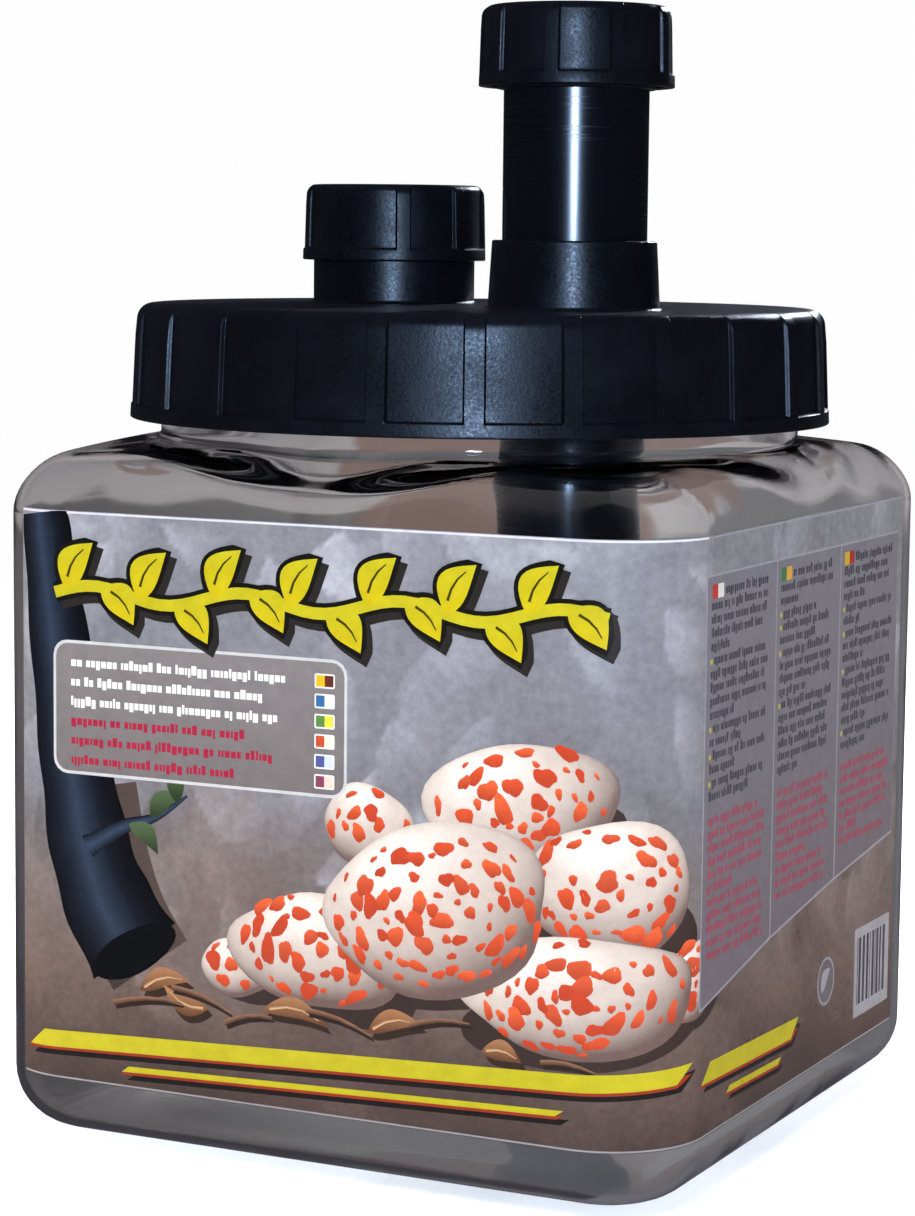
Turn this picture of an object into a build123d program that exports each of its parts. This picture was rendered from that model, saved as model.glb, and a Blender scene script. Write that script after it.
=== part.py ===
from build123d import *
import os
from math import cos, degrees, hypot, pi, radians, sin, sqrt

# Cricket keeper: a clear square jar with a screw lid, two lid ports, and a tube that slides into the jar.
# Millimetres. +Z is up, the origin is at the centre of the base, and -Y is the labelled front.

# ---------------------------------------------------------------- jar body
JAR_WIDTH = 124.0             # along X, flat wall to flat wall
JAR_DEPTH = 124.0             # along Y
JAR_CORNER_R = 16.0           # plan radius of the four upright corners
JAR_BASE_R = 10.0             # rounding between the base and the walls
JAR_SHOULDER_R = 10.0         # rounding between the walls and the shoulder
JAR_SHOULDER_Z = 115.5        # height of the flat shoulder
JAR_WALL = 1.2
STANDING_RING = 6.0           # width of the flat ring that the jar stands on
PUSH_UP_CORNER_R = 12.0       # plan radius of the hollow under the base
PUSH_UP_HEIGHT = 3.5
PUSH_UP_SLOPE = 45.0          # degrees that the hollow's sides lean inwards
STANDING_RING_BEVEL = 0.8     # bevel along the standing ring's inner edge

# ---------------------------------------------------------------- jar neck
NECK_SIDE_MARGIN = 7.3        # from the neck's wall to the jar's flat side, seen from above
NECK_WALL = 1.8
NECK_FLARE_R = 2.2            # hollow rounding where the neck meets the shoulder
NECK_RIM_BEVEL = 0.3          # bevel along the rim's two edges
THREAD_DEPTH = 2.2            # room for the thread outside the neck's wall

# ---------------------------------------------------------------- label
LABEL_FILM = 0.18
LABEL_GLUE = 0.02             # adhesive between the jar's wall and the film
LABEL_LOW_MARGIN = 0.6        # from the base rounding to the film
LABEL_TOP_MARGIN = 0.5        # from the film to the shoulder rounding
LABEL_LEFT_WRAP = 30.0        # degrees that the film runs round the front left corner
LABEL_END_MARGIN = 2.0        # from the film's right-hand end to the rear corner's rounding

# ---------------------------------------------------------------- main lid
LID_GAP = 3.2                 # clear neck that shows between the shoulder and the lid
LID_THREAD_GAP = 0.4          # the neck's thread to the lid's bore
LID_WALL = 2.7                # skirt at its lower edge
LID_HEIGHT = 19.3
LID_DRAFT = 0.9               # how much less the outer radius is at the top
LID_BAND = 2.4                # height of the plain band along the lower edge
LID_RECESS = 0.7              # depth of the grip panels behind the ribs
LID_PANELS = 24
LID_RIB_WIDTH = 3.3
LID_TURN = -5.0               # one rib's place round the lid
LID_TOP_R = 2.2               # rounding of the panels' top edge
LID_PLATE = 1.8
LINER_THICKNESS = 1.5
LINER_OVERHANG = 1.6          # how far the foam ring reaches inside the jar's mouth
LINER_EDGE_GAP = 0.3          # foam ring to the lid's skirt
VENT_R = 0.75                 # air holes through the lid's plate
VENT_COUNT = 5                # holes in each of the two arcs
VENT_PITCH = 10.0             # degrees from hole to hole
VENT_MARGIN = 11.9            # from the holes' circle to the jar's mouth

# ---------------------------------------------------------------- tube, its collar and its top ring
TUBE_R = 12.03
TUBE_WALL = 1.2
TUBE_FLOOR_GAP = 5.3          # from the tube's lower end to the raised middle of the jar's floor
TUBE_LENGTH = 174.0
TUBE_RUNNING_GAP = 0.07       # collar bore to the tube, all round
PORT_OFFSET = 24.7            # from the lid's axis to each port's axis
PORT_ANGLE = -25.5            # direction of the tube's port, in degrees from +X
COLLAR_HEIGHT = 11.3
COLLAR_WALL = 1.6             # at the collar's top
COLLAR_TAPER = 0.6            # how much wider the collar's foot is than its top
COLLAR_EDGE_R = 0.3
PORT_FOOT_R = 0.6             # hollow rounding where the ports meet the lid's top
RING_HEIGHT = 10.0
RING_WALL = 1.14
RING_GLUE = 0.03              # bonded gap between the ring and the tube
RING_BEVEL = 0.4

# ---------------------------------------------------------------- short port and the two like screw caps
SPOUT_WALL = 2.0              # under the thread
SPOUT_STEP = 1.05             # from the threaded wall out to the plain neck below it
SPOUT_OVERLAP = 1.0           # how far the cap's skirt covers the plain neck
CAP_STAND = 7.4               # from the lid's top to the port cap's lower edge
CAP_HEIGHT = 13.2
CAP_WALL = 1.7                # skirt at its lower edge
CAP_DRAFT = 0.35
CAP_BAND = 2.1
CAP_RECESS = 0.55
CAP_PANELS = 9
CAP_RIB_WIDTH = 2.5
PORT_CAP_TURN = -17.0         # where each cap's first rib stops when it is screwed home
TUBE_CAP_TURN = -1.0
CAP_TOP_R = 1.3
CAP_PLATE = 1.6
CAP_CLEARANCE = 0.25          # cap bore to the plain neck that it covers
CAP_LINER = 2.0
CAP_LINER_GAP = 0.3           # foam disc to the cap's skirt

# ---------------------------------------------------------------- sizes that follow
PUSH_UP_WIDTH = JAR_WIDTH - 2 * (JAR_BASE_R + STANDING_RING)
PUSH_UP_DEPTH = JAR_DEPTH - 2 * (JAR_BASE_R + STANDING_RING)
NECK_R = min(JAR_WIDTH, JAR_DEPTH) / 2 - NECK_SIDE_MARGIN
NECK_BORE_R = NECK_R - NECK_WALL
LID_BORE_R = NECK_R + THREAD_DEPTH + LID_THREAD_GAP
LID_R = LID_BORE_R + LID_WALL
VENT_ARC_R = NECK_BORE_R - VENT_MARGIN
COLLAR_BORE_R = TUBE_R + TUBE_RUNNING_GAP
COLLAR_TOP_R = COLLAR_BORE_R + COLLAR_WALL
COLLAR_BASE_R = COLLAR_TOP_R + COLLAR_TAPER
RING_BORE_R = TUBE_R + RING_GLUE
FINISH_R = RING_BORE_R + RING_WALL
SPOUT_R = FINISH_R + SPOUT_STEP
SPOUT_BORE_R = FINISH_R - SPOUT_WALL
CAP_BORE_R = SPOUT_R + CAP_CLEARANCE
CAP_R = CAP_BORE_R + CAP_WALL

# ---------------------------------------------------------------- heights and places that follow
LABEL_LOW_Z = JAR_BASE_R + LABEL_LOW_MARGIN
LABEL_TOP_Z = JAR_SHOULDER_Z - JAR_SHOULDER_R - LABEL_TOP_MARGIN
LID_BOTTOM_Z = JAR_SHOULDER_Z + LID_GAP
LID_TOP_Z = LID_BOTTOM_Z + LID_HEIGHT
LID_CEILING_Z = LID_TOP_Z - LID_PLATE
NECK_RIM_Z = LID_CEILING_Z - LINER_THICKNESS
PORT_CAP_Z = LID_TOP_Z + CAP_STAND
SPOUT_RIM_Z = PORT_CAP_Z + CAP_HEIGHT - CAP_PLATE - CAP_LINER
SPOUT_SHOULDER_Z = PORT_CAP_Z + SPOUT_OVERLAP
TUBE_FOOT_Z = PUSH_UP_HEIGHT + JAR_WALL + TUBE_FLOOR_GAP
TUBE_TOP_Z = TUBE_FOOT_Z + TUBE_LENGTH
TUBE_CAP_Z = TUBE_TOP_Z + CAP_LINER + CAP_PLATE - CAP_HEIGHT
CAP_LINER_LIFT = CAP_HEIGHT - CAP_PLATE - CAP_LINER
TUBE_PORT = Pos(PORT_OFFSET * cos(radians(PORT_ANGLE)), PORT_OFFSET * sin(radians(PORT_ANGLE)), 0)
SPOUT_PORT = Pos(-PORT_OFFSET * cos(radians(PORT_ANGLE)), -PORT_OFFSET * sin(radians(PORT_ANGLE)), 0)

EDGE_STEPS = 4                # straight steps in a closure's rounded top edge
SMALL_STEPS = 2               # straight steps in the small roundings of the ports
TOLERANCE = 0.01              # for finding an edge by its place or length
CUT_OVER = 1.0                # how far a cutting tool runs past what it cuts


# ---------------------------------------------------------------- general helpers
def turned(points, sweep=360.0):
    """A solid turned about the Z axis from an outline of (radius, height) points."""
    outline = make_face(Plane.XZ * Polyline(*points, close=True))
    return revolve(outline, Axis.Z, sweep)


def arc_points(centre_r, centre_z, radius, start, end, steps):
    """Points along a quarter-round of an outline, from start to end in degrees."""
    angles = [start + (end - start) * i / steps for i in range(steps + 1)]
    return [(centre_r + radius * cos(radians(a)), centre_z + radius * sin(radians(a))) for a in angles]


def disc(radius, low_z, high_z):
    """An upright cylinder between two heights."""
    return Pos(0, 0, low_z) * Cylinder(radius, high_z - low_z, align=(Align.CENTER, Align.CENTER, Align.MIN))


def ring(outer_r, inner_r, low_z, high_z):
    """An upright tube between two heights."""
    return disc(outer_r, low_z, high_z) - disc(inner_r, low_z, high_z)


def edges_at(solid, height):
    """The edges that lie flat at one height."""
    return solid.edges().filter_by_position(Axis.Z, height - TOLERANCE, height + TOLERANCE)


def circle_edge(solid, radius, height):
    """The round edge of one radius at one height."""
    return edges_at(solid, height).filter_by(lambda e: abs(e.length - 2 * pi * radius) < TOLERANCE)


# ---------------------------------------------------------------- jar
def jar_body(inset):
    """The jar's square body, drawn inwards all round by the inset."""
    plan = RectangleRounded(JAR_WIDTH - 2 * inset, JAR_DEPTH - 2 * inset, JAR_CORNER_R - inset)
    body = Pos(0, 0, inset) * extrude(plan, amount=JAR_SHOULDER_Z - 2 * inset)
    body = fillet(edges_at(body, inset), JAR_BASE_R - inset)
    return fillet(edges_at(body, JAR_SHOULDER_Z - inset), JAR_SHOULDER_R - inset)


def push_up(offset):
    """The hollow under the base, grown outwards by the offset."""
    grow = sqrt(2) * offset
    plan = RectangleRounded(PUSH_UP_WIDTH + 2 * grow, PUSH_UP_DEPTH + 2 * grow, PUSH_UP_CORNER_R + grow)
    return extrude(plan, amount=PUSH_UP_HEIGHT + offset, taper=PUSH_UP_SLOPE)


def neck_root(solid):
    """The edges where the neck's wall meets the shoulder."""
    def on_root(edge):
        point = edge @ 0.5
        on_wall = abs(hypot(point.X, point.Y) - NECK_R) < TOLERANCE
        return on_wall and JAR_SHOULDER_Z - JAR_SHOULDER_R / 2 < point.Z < JAR_SHOULDER_Z + TOLERANCE
    return solid.edges().filter_by(on_root)


def make_jar():
    outside = jar_body(0.0) + disc(NECK_R, JAR_SHOULDER_Z - JAR_SHOULDER_R, NECK_RIM_Z)
    outside = fillet(neck_root(outside), NECK_FLARE_R)
    inside = jar_body(JAR_WALL) - push_up(JAR_WALL)
    inside += disc(NECK_BORE_R, JAR_SHOULDER_Z - JAR_SHOULDER_R, NECK_RIM_Z + CUT_OVER)
    jar = outside - push_up(0.0) - inside
    rim = circle_edge(jar, NECK_R, NECK_RIM_Z) + circle_edge(jar, NECK_BORE_R, NECK_RIM_Z)
    jar = chamfer(rim, NECK_RIM_BEVEL)
    ring_edges = edges_at(jar, 0.0).filter_by(lambda e: abs(e.center().X) < PUSH_UP_WIDTH / 2 + TOLERANCE
                                              and abs(e.center().Y) < PUSH_UP_DEPTH / 2 + TOLERANCE)
    return chamfer(ring_edges, STANDING_RING_BEVEL)


def label_line(offset):
    """The label's line round the jar, at one distance outside the wall, as edges from left to right."""
    x = JAR_WIDTH / 2 - JAR_CORNER_R
    y = JAR_DEPTH / 2 - JAR_CORNER_R
    radius = JAR_CORNER_R + offset
    left = CenterArc((-x, -y), radius, 270.0 - LABEL_LEFT_WRAP, LABEL_LEFT_WRAP)
    front = Line((-x, -y - radius), (x, -y - radius))
    near = CenterArc((x, -y), radius, 270.0, 90.0)
    right = Line((x + radius, -y), (x + radius, y - LABEL_END_MARGIN))
    return [left, front, near, right]


def make_label():
    inner = label_line(LABEL_GLUE)
    outer = label_line(LABEL_GLUE + LABEL_FILM)
    ends = [Line(inner[0] @ 0, outer[0] @ 0), Line(inner[-1] @ 1, outer[-1] @ 1)]
    section = make_face(Curve() + inner + outer + ends)
    return Pos(0, 0, LABEL_LOW_Z) * extrude(section, amount=LABEL_TOP_Z - LABEL_LOW_Z)


# ---------------------------------------------------------------- screw closures
def gripped_shell(radius, height, draft, band, recess, panels, rib_width, top_r, bore_r, plate):
    """A screw closure standing on z = 0: plain lower band, recessed grip panels between narrow ribs."""
    def outer_r(z):
        return radius - draft * z / height

    wall_r = outer_r(height) - recess
    panel_low_r = outer_r(band) - recess
    core = turned([(0, height - plate), (bore_r, height - plate), (bore_r, 0), (radius, 0),
                   (outer_r(band), band), (panel_low_r, band)]
                  + arc_points(wall_r - top_r, height - top_r, top_r, 0.0, 90.0, EDGE_STEPS)
                  + [(0, height)])
    rib_r = outer_r(height)
    rib_top_r = top_r + recess
    rib_angle = degrees(rib_width / radius)
    rib_inner_r = (bore_r + wall_r) / 2
    rib_inner_z = height - 0.75 * plate
    rib = turned([(rib_inner_r, band / 2), (outer_r(band / 2), band / 2)]
                 + arc_points(rib_r - rib_top_r, height - rib_top_r, rib_top_r, 0.0, 90.0, EDGE_STEPS)
                 + [(rib_r - rib_top_r, rib_inner_z), (rib_inner_r, rib_inner_z)], rib_angle)
    step = 360.0 / panels
    ribs = [Rot(0, 0, step * i - rib_angle / 2) * rib for i in range(panels)]
    return core.fuse(*ribs)


def make_small_cap():
    """The small cap in its own frame, its lower edge on z = 0 and its axis on Z."""
    return gripped_shell(CAP_R, CAP_HEIGHT, CAP_DRAFT, CAP_BAND, CAP_RECESS, CAP_PANELS, CAP_RIB_WIDTH,
                         CAP_TOP_R, CAP_BORE_R, CAP_PLATE)


def make_cap_liner():
    """The small cap's foam disc, on z = 0."""
    return disc(CAP_BORE_R - CAP_LINER_GAP, 0, CAP_LINER)


# ---------------------------------------------------------------- main lid
def make_collar():
    """The tube's collar, standing on the lid's top, at the collar's own axis."""
    top_z = LID_TOP_Z + COLLAR_HEIGHT
    edge = COLLAR_EDGE_R
    foot_r = COLLAR_BASE_R + PORT_FOOT_R
    foot = arc_points(foot_r, LID_TOP_Z + PORT_FOOT_R, PORT_FOOT_R, 270.0, 180.0, SMALL_STEPS)
    crown = arc_points(COLLAR_TOP_R - edge, top_z - edge, edge, 0.0, 90.0, SMALL_STEPS)
    return turned([(0, LID_CEILING_Z), (foot_r, LID_CEILING_Z)] + foot + crown + [(0, top_z)])


def make_spout():
    """The short port neck: plain lower part, then the narrower wall for the thread, at its own axis."""
    foot_r = SPOUT_R + PORT_FOOT_R
    foot = arc_points(foot_r, LID_TOP_Z + PORT_FOOT_R, PORT_FOOT_R, 270.0, 180.0, SMALL_STEPS)
    return turned([(0, LID_CEILING_Z), (foot_r, LID_CEILING_Z)] + foot
                  + [(SPOUT_R, SPOUT_SHOULDER_Z), (FINISH_R, SPOUT_SHOULDER_Z), (FINISH_R, SPOUT_RIM_Z),
                     (0, SPOUT_RIM_Z)])


def make_main_lid():
    shell = Pos(0, 0, LID_BOTTOM_Z) * Rot(0, 0, LID_TURN) * gripped_shell(
        LID_R, LID_HEIGHT, LID_DRAFT, LID_BAND, LID_RECESS, LID_PANELS, LID_RIB_WIDTH, LID_TOP_R,
        LID_BORE_R, LID_PLATE)
    lid = shell + TUBE_PORT * make_collar() + SPOUT_PORT * make_spout()
    below = LID_CEILING_Z - CUT_OVER
    lid -= TUBE_PORT * disc(COLLAR_BORE_R, below, LID_TOP_Z + COLLAR_HEIGHT + CUT_OVER)
    lid -= SPOUT_PORT * disc(SPOUT_BORE_R, below, SPOUT_RIM_Z + CUT_OVER)
    vent = Pos(VENT_ARC_R, 0, 0) * disc(VENT_R, below, LID_TOP_Z + CUT_OVER)
    for side in (90.0, 270.0):
        for i in range(VENT_COUNT):
            turn = PORT_ANGLE + side + VENT_PITCH * (i - (VENT_COUNT - 1) / 2)
            lid -= Rot(0, 0, turn) * vent
    return lid


def make_lid_liner():
    return ring(LID_BORE_R - LINER_EDGE_GAP, NECK_BORE_R - LINER_OVERHANG, NECK_RIM_Z, LID_CEILING_Z)


# ---------------------------------------------------------------- tube
def make_tube():
    return TUBE_PORT * ring(TUBE_R, TUBE_R - TUBE_WALL, TUBE_FOOT_Z, TUBE_TOP_Z)


def make_tube_ring():
    body = ring(FINISH_R, RING_BORE_R, TUBE_TOP_Z - RING_HEIGHT, TUBE_TOP_Z)
    lower = circle_edge(body, FINISH_R, TUBE_TOP_Z - RING_HEIGHT)
    return TUBE_PORT * chamfer(lower, RING_BEVEL)


# ---------------------------------------------------------------- all pieces
small_cap = make_small_cap()
cap_liner = make_cap_liner()
pieces = {
    "jar": make_jar(),
    "wrap_label": make_label(),
    "main_lid": make_main_lid(),
    "lid_liner": make_lid_liner(),
    "port_cap": SPOUT_PORT * Pos(0, 0, PORT_CAP_Z) * Rot(0, 0, PORT_CAP_TURN) * small_cap,
    "port_cap_liner": SPOUT_PORT * Pos(0, 0, PORT_CAP_Z + CAP_LINER_LIFT) * cap_liner,
    "feeder_tube": make_tube(),
    "tube_top_ring": make_tube_ring(),
    "tube_cap": TUBE_PORT * Pos(0, 0, TUBE_CAP_Z) * Rot(0, 0, TUBE_CAP_TURN) * small_cap,
    "tube_cap_liner": TUBE_PORT * Pos(0, 0, TUBE_CAP_Z + CAP_LINER_LIFT) * cap_liner,
}

os.makedirs("parts", exist_ok=True)
for name, shape in pieces.items():
    export_step(shape, f"parts/{name}.step")
    print(name, len(shape.solids()), round(shape.volume, 1), shape.bounding_box().size)
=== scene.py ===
"""Cricket keeper box: a clear square jar with a printed wrap label, a screw lid with two ports, a small screw cap on
one port, and a capped tube that slides through the other."""
import random
from math import atan2, cos, degrees, hypot, pi, radians, sin, sqrt
from typing import NamedTuple

import bmesh
import bpy
import numpy as np
from bpy.props import FloatProperty, FloatVectorProperty, IntProperty, PointerProperty
from mathutils import Matrix, Vector


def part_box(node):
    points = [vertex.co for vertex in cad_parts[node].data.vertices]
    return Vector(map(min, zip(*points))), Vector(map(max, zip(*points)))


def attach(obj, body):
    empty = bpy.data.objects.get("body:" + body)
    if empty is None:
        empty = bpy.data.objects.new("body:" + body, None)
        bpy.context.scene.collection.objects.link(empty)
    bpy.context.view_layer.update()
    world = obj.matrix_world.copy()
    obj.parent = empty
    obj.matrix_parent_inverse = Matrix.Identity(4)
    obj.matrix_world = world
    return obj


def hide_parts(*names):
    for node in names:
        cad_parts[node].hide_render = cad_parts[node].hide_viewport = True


bl_info = {
    "name": "Cricket Keeper Box",
    "version": (1, 0, 0),
    "blender": (4, 5, 0),
    "location": "3D View > Sidebar > Keeper",
    "description": "Dresses the packed cricket keeper box: jar, label, closures, tube and studio",
    "category": "Object",
}

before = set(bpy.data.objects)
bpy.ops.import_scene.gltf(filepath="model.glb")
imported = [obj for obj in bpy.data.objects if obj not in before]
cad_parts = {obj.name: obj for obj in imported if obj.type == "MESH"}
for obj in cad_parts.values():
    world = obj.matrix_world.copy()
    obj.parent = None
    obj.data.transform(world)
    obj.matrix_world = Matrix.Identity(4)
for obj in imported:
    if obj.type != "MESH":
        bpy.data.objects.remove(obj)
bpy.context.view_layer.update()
MM = 0.001


# ---------------------------------------------------------------- sizes, in millimetres, from the frame or set here
def node_box(node):
    """Lowest and highest corner of a CAD node, in millimetres."""
    low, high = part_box(node)
    return low / MM, high / MM


LABEL_LOW, LABEL_HIGH = node_box("wrap_label")
LID_LOW, LID_HIGH = node_box("main_lid")
PORT_CAP_LOW, PORT_CAP_HIGH = node_box("port_cap")
TUBE_CAP_LOW = node_box("tube_cap")[0]
TUBE_LOW, TUBE_HIGH = node_box("feeder_tube")
RING_LOW, RING_HIGH = node_box("tube_top_ring")
JAR_HIGH = node_box("jar")[1]

JAR_HALF = JAR_HIGH.x                      # flat wall from the middle
JAR_CORNER = 16.0                          # plan radius of the upright corners
JAR_INNER = JAR_HALF - JAR_CORNER          # centres of the upright corners, from the middle
JAR_ROUND = 10.0                           # base and shoulder rounding
SHOULDER_Z = 115.5
WALL = 1.2
NECK_R = JAR_HALF - 7.3
NECK_BORE_R = NECK_R - 1.8
NECK_FLARE = 1.1                           # rounding of the neck's root outside
BORE_FLARE = 1.7                           # and inside
NECK_PLAIN_Z = 119.4                       # the neck is plain below this height
NECK_THREAD_Z = 122.4                      # middle of the thread where it starts
RIM_Z = JAR_HIGH.z
RIM_ROUND = 0.45
STAND_HALF = JAR_HALF - 16.0               # standing ring's inner edge
PUSH_UP = 3.5

FILM_LOW, FILM_HIGH = LABEL_LOW.z, LABEL_HIGH.z
LEFT_ARC = JAR_CORNER * radians(30.0)      # runs of the film round the front left corner,
FRONT = 2 * JAR_INNER                      # over the front,
NEAR_ARC = JAR_CORNER * pi / 2             # round the near corner
SIDE = FRONT - 2.0                         # and over the right-hand side
FILM_LENGTH = LEFT_ARC + FRONT + NEAR_ARC + SIDE
FILM_BACK_OUT, FILM_FACE_OUT = 0.02, 0.07  # the film's two faces, out from the jar's wall
PRINT_OUT, PRINT_DEPTH = 0.077, 0.118      # lowest ink, and the highest ink above it

LID_Z = LID_LOW.z
LID_TOP_Z = LID_Z + 19.3
LID_R = LID_HIGH.x
PLATE = 1.8
PLATE_R = 54.0                             # the lid's plate meets its skirt here
PLATE_Z = LID_TOP_Z - PLATE
VENT_R, VENT_ARC_R, VENT_PITCH = 0.75, 41.0, 10.0
COLLAR_HOLE_R, SPOUT_HOLE_R = 13.0, 12.0   # openings of the lid's plate under both ports
COLLAR_ROOT_R, SPOUT_ROOT_R = 13.4, 13.0   # both ports inside the plate, at its underside
ROOT_FLARE = 0.2                           # and how much wider near its top
COLLAR_HEIGHT, COLLAR_WALL, COLLAR_TAPER = 11.3, 1.6, 0.6
PORT_FOOT_R = 0.6                          # hollow rounding at the foot of both ports
TUBE_GAP = 0.07                            # collar to tube
RING_GLUE = 0.03                           # ring to tube
TUBE_WALL = 1.2
TUBE_R = (TUBE_HIGH.x - TUBE_LOW.x) / 2
TUBE_XY = (TUBE_HIGH + TUBE_LOW) / 2
PORT_XY = (PORT_CAP_HIGH + PORT_CAP_LOW) / 2
CAP_R = (PORT_CAP_HIGH.x - PORT_CAP_LOW.x) / 2
CAP_HEIGHT = PORT_CAP_HIGH.z - PORT_CAP_LOW.z
FINISH_R = (RING_HIGH.x - RING_LOW.x) / 2  # wall under the small threads
SPOUT_R = FINISH_R + 1.05
SPOUT_BORE_R = FINISH_R - 2.0
SPOUT_STEP_Z = PORT_CAP_LOW.z + 1.0
SPOUT_RIM_Z = LID_HIGH.z


# ---------------------------------------------------------------- panel values
def linear(code):
    """A sRGB hex colour as linear red, green, blue and alpha."""
    parts = [int(code[i:i + 2], 16) / 255 for i in (1, 3, 5)]
    return [c / 12.92 if c <= 0.04045 else ((c + 0.055) / 1.055) ** 2.4 for c in parts] + [1.0]


def length(name, description, millimetres, **limits):
    """A length of the panel."""
    return FloatProperty(name=name, description=description, default=millimetres * MM, unit="LENGTH", **limits)


def colour(name, description, code):
    """A colour of the panel."""
    return FloatVectorProperty(name=name, description=description, default=linear(code), subtype="COLOR", size=4,
                               min=0.0, max=1.0)


class KeeperSizes(bpy.types.PropertyGroup):
    """Sizes that a user may change."""
    thread_height: length("Thread height", "How far the big threads stand out of their walls", 1.15,
                          min=0.0, max=1.2 * MM)
    thread_lead: length("Jar thread lead", "Rise of the jar's thread in one turn", 5.08)
    small_thread_height: length("Small thread height", "Height of the small caps' threads", 0.58,
                                min=0.0, max=0.6 * MM)
    small_thread_lead: length("Small thread lead", "Rise of the small threads in one turn", 4.23)
    grain: length("Moulding grain", "Width of the fine grain on the black mouldings", 0.45)
    bar_height: length("Bar line height", "Height of the label's lines of small plain bars", 1.5)
    seed: IntProperty(name="Print seed", description="Changes the printed pebbles, petals and bars", default=7)


class KeeperColours(bpy.types.PropertyGroup):
    """Colours that a user may change."""
    pet: colour("Clear PET", "Tint of the jar's wall", "#e9ebea")
    moulding: colour("Black moulding", "Black polypropylene of the lid and the caps", "#07080c")
    tube: colour("Black tube", "Extruded tube", "#07080d")
    foam: colour("Foam", "Closed-cell liner foam", "#dcdcd6")
    yellow: colour("Yellow ink", "Garland and stripes", "#b0a41b")


# ---------------------------------------------------------------- mesh helpers
def nothing_selected():
    """Leaves edit mode and clears the selection, because the frame's nodes come in selected."""
    if bpy.context.object and bpy.context.object.mode != "OBJECT":
        bpy.ops.object.mode_set(mode="OBJECT")
    bpy.ops.object.select_all(action="DESELECT")


def chosen(*pieces):
    """Selects the pieces alone and makes the first one active."""
    nothing_selected()
    for piece in pieces:
        piece.select_set(True)
    bpy.context.view_layer.objects.active = pieces[0]
    return pieces[0]


def named(piece, name):
    """Names a piece and its mesh."""
    piece.name = name
    piece.data.name = name
    return piece


def wrapped_grid(name, columns, rows, place, weld_columns=True, weld_rows=False):
    """A grid primitive wrapped into a piece: vertex (column, row) goes to place(column, row), in millimetres.
    Meeting edges and poles are welded, and the faces are turned outwards."""
    nothing_selected()
    bpy.ops.mesh.primitive_grid_add(x_subdivisions=columns, y_subdivisions=rows, size=2.0, location=(0, 0, 0))
    piece = named(bpy.context.object, name)
    for vertex in piece.data.vertices:
        column = round((vertex.co.x + 1.0) / 2.0 * columns)
        row = round((vertex.co.y + 1.0) / 2.0 * rows)
        vertex.co = Vector(place(column % columns if weld_columns else column,
                                 row % rows if weld_rows else row)) * MM
    bpy.ops.object.mode_set(mode="EDIT")
    bpy.ops.mesh.select_all(action="SELECT")
    bpy.ops.mesh.remove_doubles(threshold=2e-7)
    bpy.ops.mesh.normals_make_consistent(inside=False)
    bpy.ops.object.mode_set(mode="OBJECT")
    return piece


def smooth(piece, angle):
    """Smooth shading that keeps the edges sharper than the angle."""
    chosen(piece)
    bpy.ops.object.shade_smooth_by_angle(angle=radians(angle))


def joined(name, pieces):
    """The pieces as one object."""
    chosen(*pieces)
    bpy.ops.object.join()
    return named(pieces[0], name)


def applied(piece, kind, **settings):
    """Adds a modifier and applies it."""
    chosen(piece)
    modifier = piece.modifiers.new(kind.title(), kind)
    for name, value in settings.items():
        setattr(modifier, name, value)
    bpy.ops.object.modifier_apply(modifier=modifier.name)


def upright(name, radius, low, high, x, y, sides):
    """A cylinder primitive between two heights, with its place in its mesh."""
    nothing_selected()
    bpy.ops.mesh.primitive_cylinder_add(vertices=sides, radius=radius * MM, depth=(high - low) * MM,
                                        location=(x * MM, y * MM, (low + high) / 2 * MM))
    piece = bpy.context.object
    piece.name = name
    bpy.ops.object.transform_apply(location=True, rotation=True, scale=True)
    return piece


def finished(piece, body, slot, material, *stands_for):
    """Gives a piece its material and its body, and hides the CAD nodes that it stands for. The slot is not used."""
    piece.data.materials.append(material)
    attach(piece, body)
    if stands_for:
        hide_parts(*stands_for)


def clamped(x):
    """A value held between 0 and 1."""
    return max(0.0, min(1.0, x))


def softened(t):
    """A share from 0 to 1 with an easy start and end."""
    return t * t * (3 - 2 * t)


def arc(centre_r, centre_z, radius, start, end, steps):
    """Points of a rounding, from start to end in degrees."""
    angles = [radians(start + (end - start) * i / steps) for i in range(steps + 1)]
    return [(centre_r + radius * cos(a), centre_z + radius * sin(a)) for a in angles]


def edge(quarter, r, z, radius, steps=3):
    """The rounding of a section's edge at (r, z): its upper outside in quarter 0, upper inside in 1, lower inside in
    2 and lower outside in 3."""
    return arc(r + (radius if quarter in (1, 2) else -radius), z + (radius if quarter > 1 else -radius), radius,
               90.0 * quarter, 90.0 * quarter + 90.0, steps)


def spaced(start, end, step):
    """Evenly spaced values from start to end, about a step apart, both ends in."""
    count = max(1, round(abs(end - start) / step))
    return [start + (end - start) * i / count for i in range(count + 1)]


def turned(name, outline, axis, ridge=None):
    """A piece turned from a closed outline of (radius, height). ridge(angle, radius, height) adds to the radius."""
    sides = 144

    def place(column, row):
        angle = 2 * pi * column / sides
        radius, height = outline[row]
        if ridge:
            radius += ridge(angle, radius, height)
        return axis.x + radius * cos(angle), axis.y + radius * sin(angle), height
    return wrapped_grid(name, sides, len(outline), place, weld_rows=True)


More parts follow.
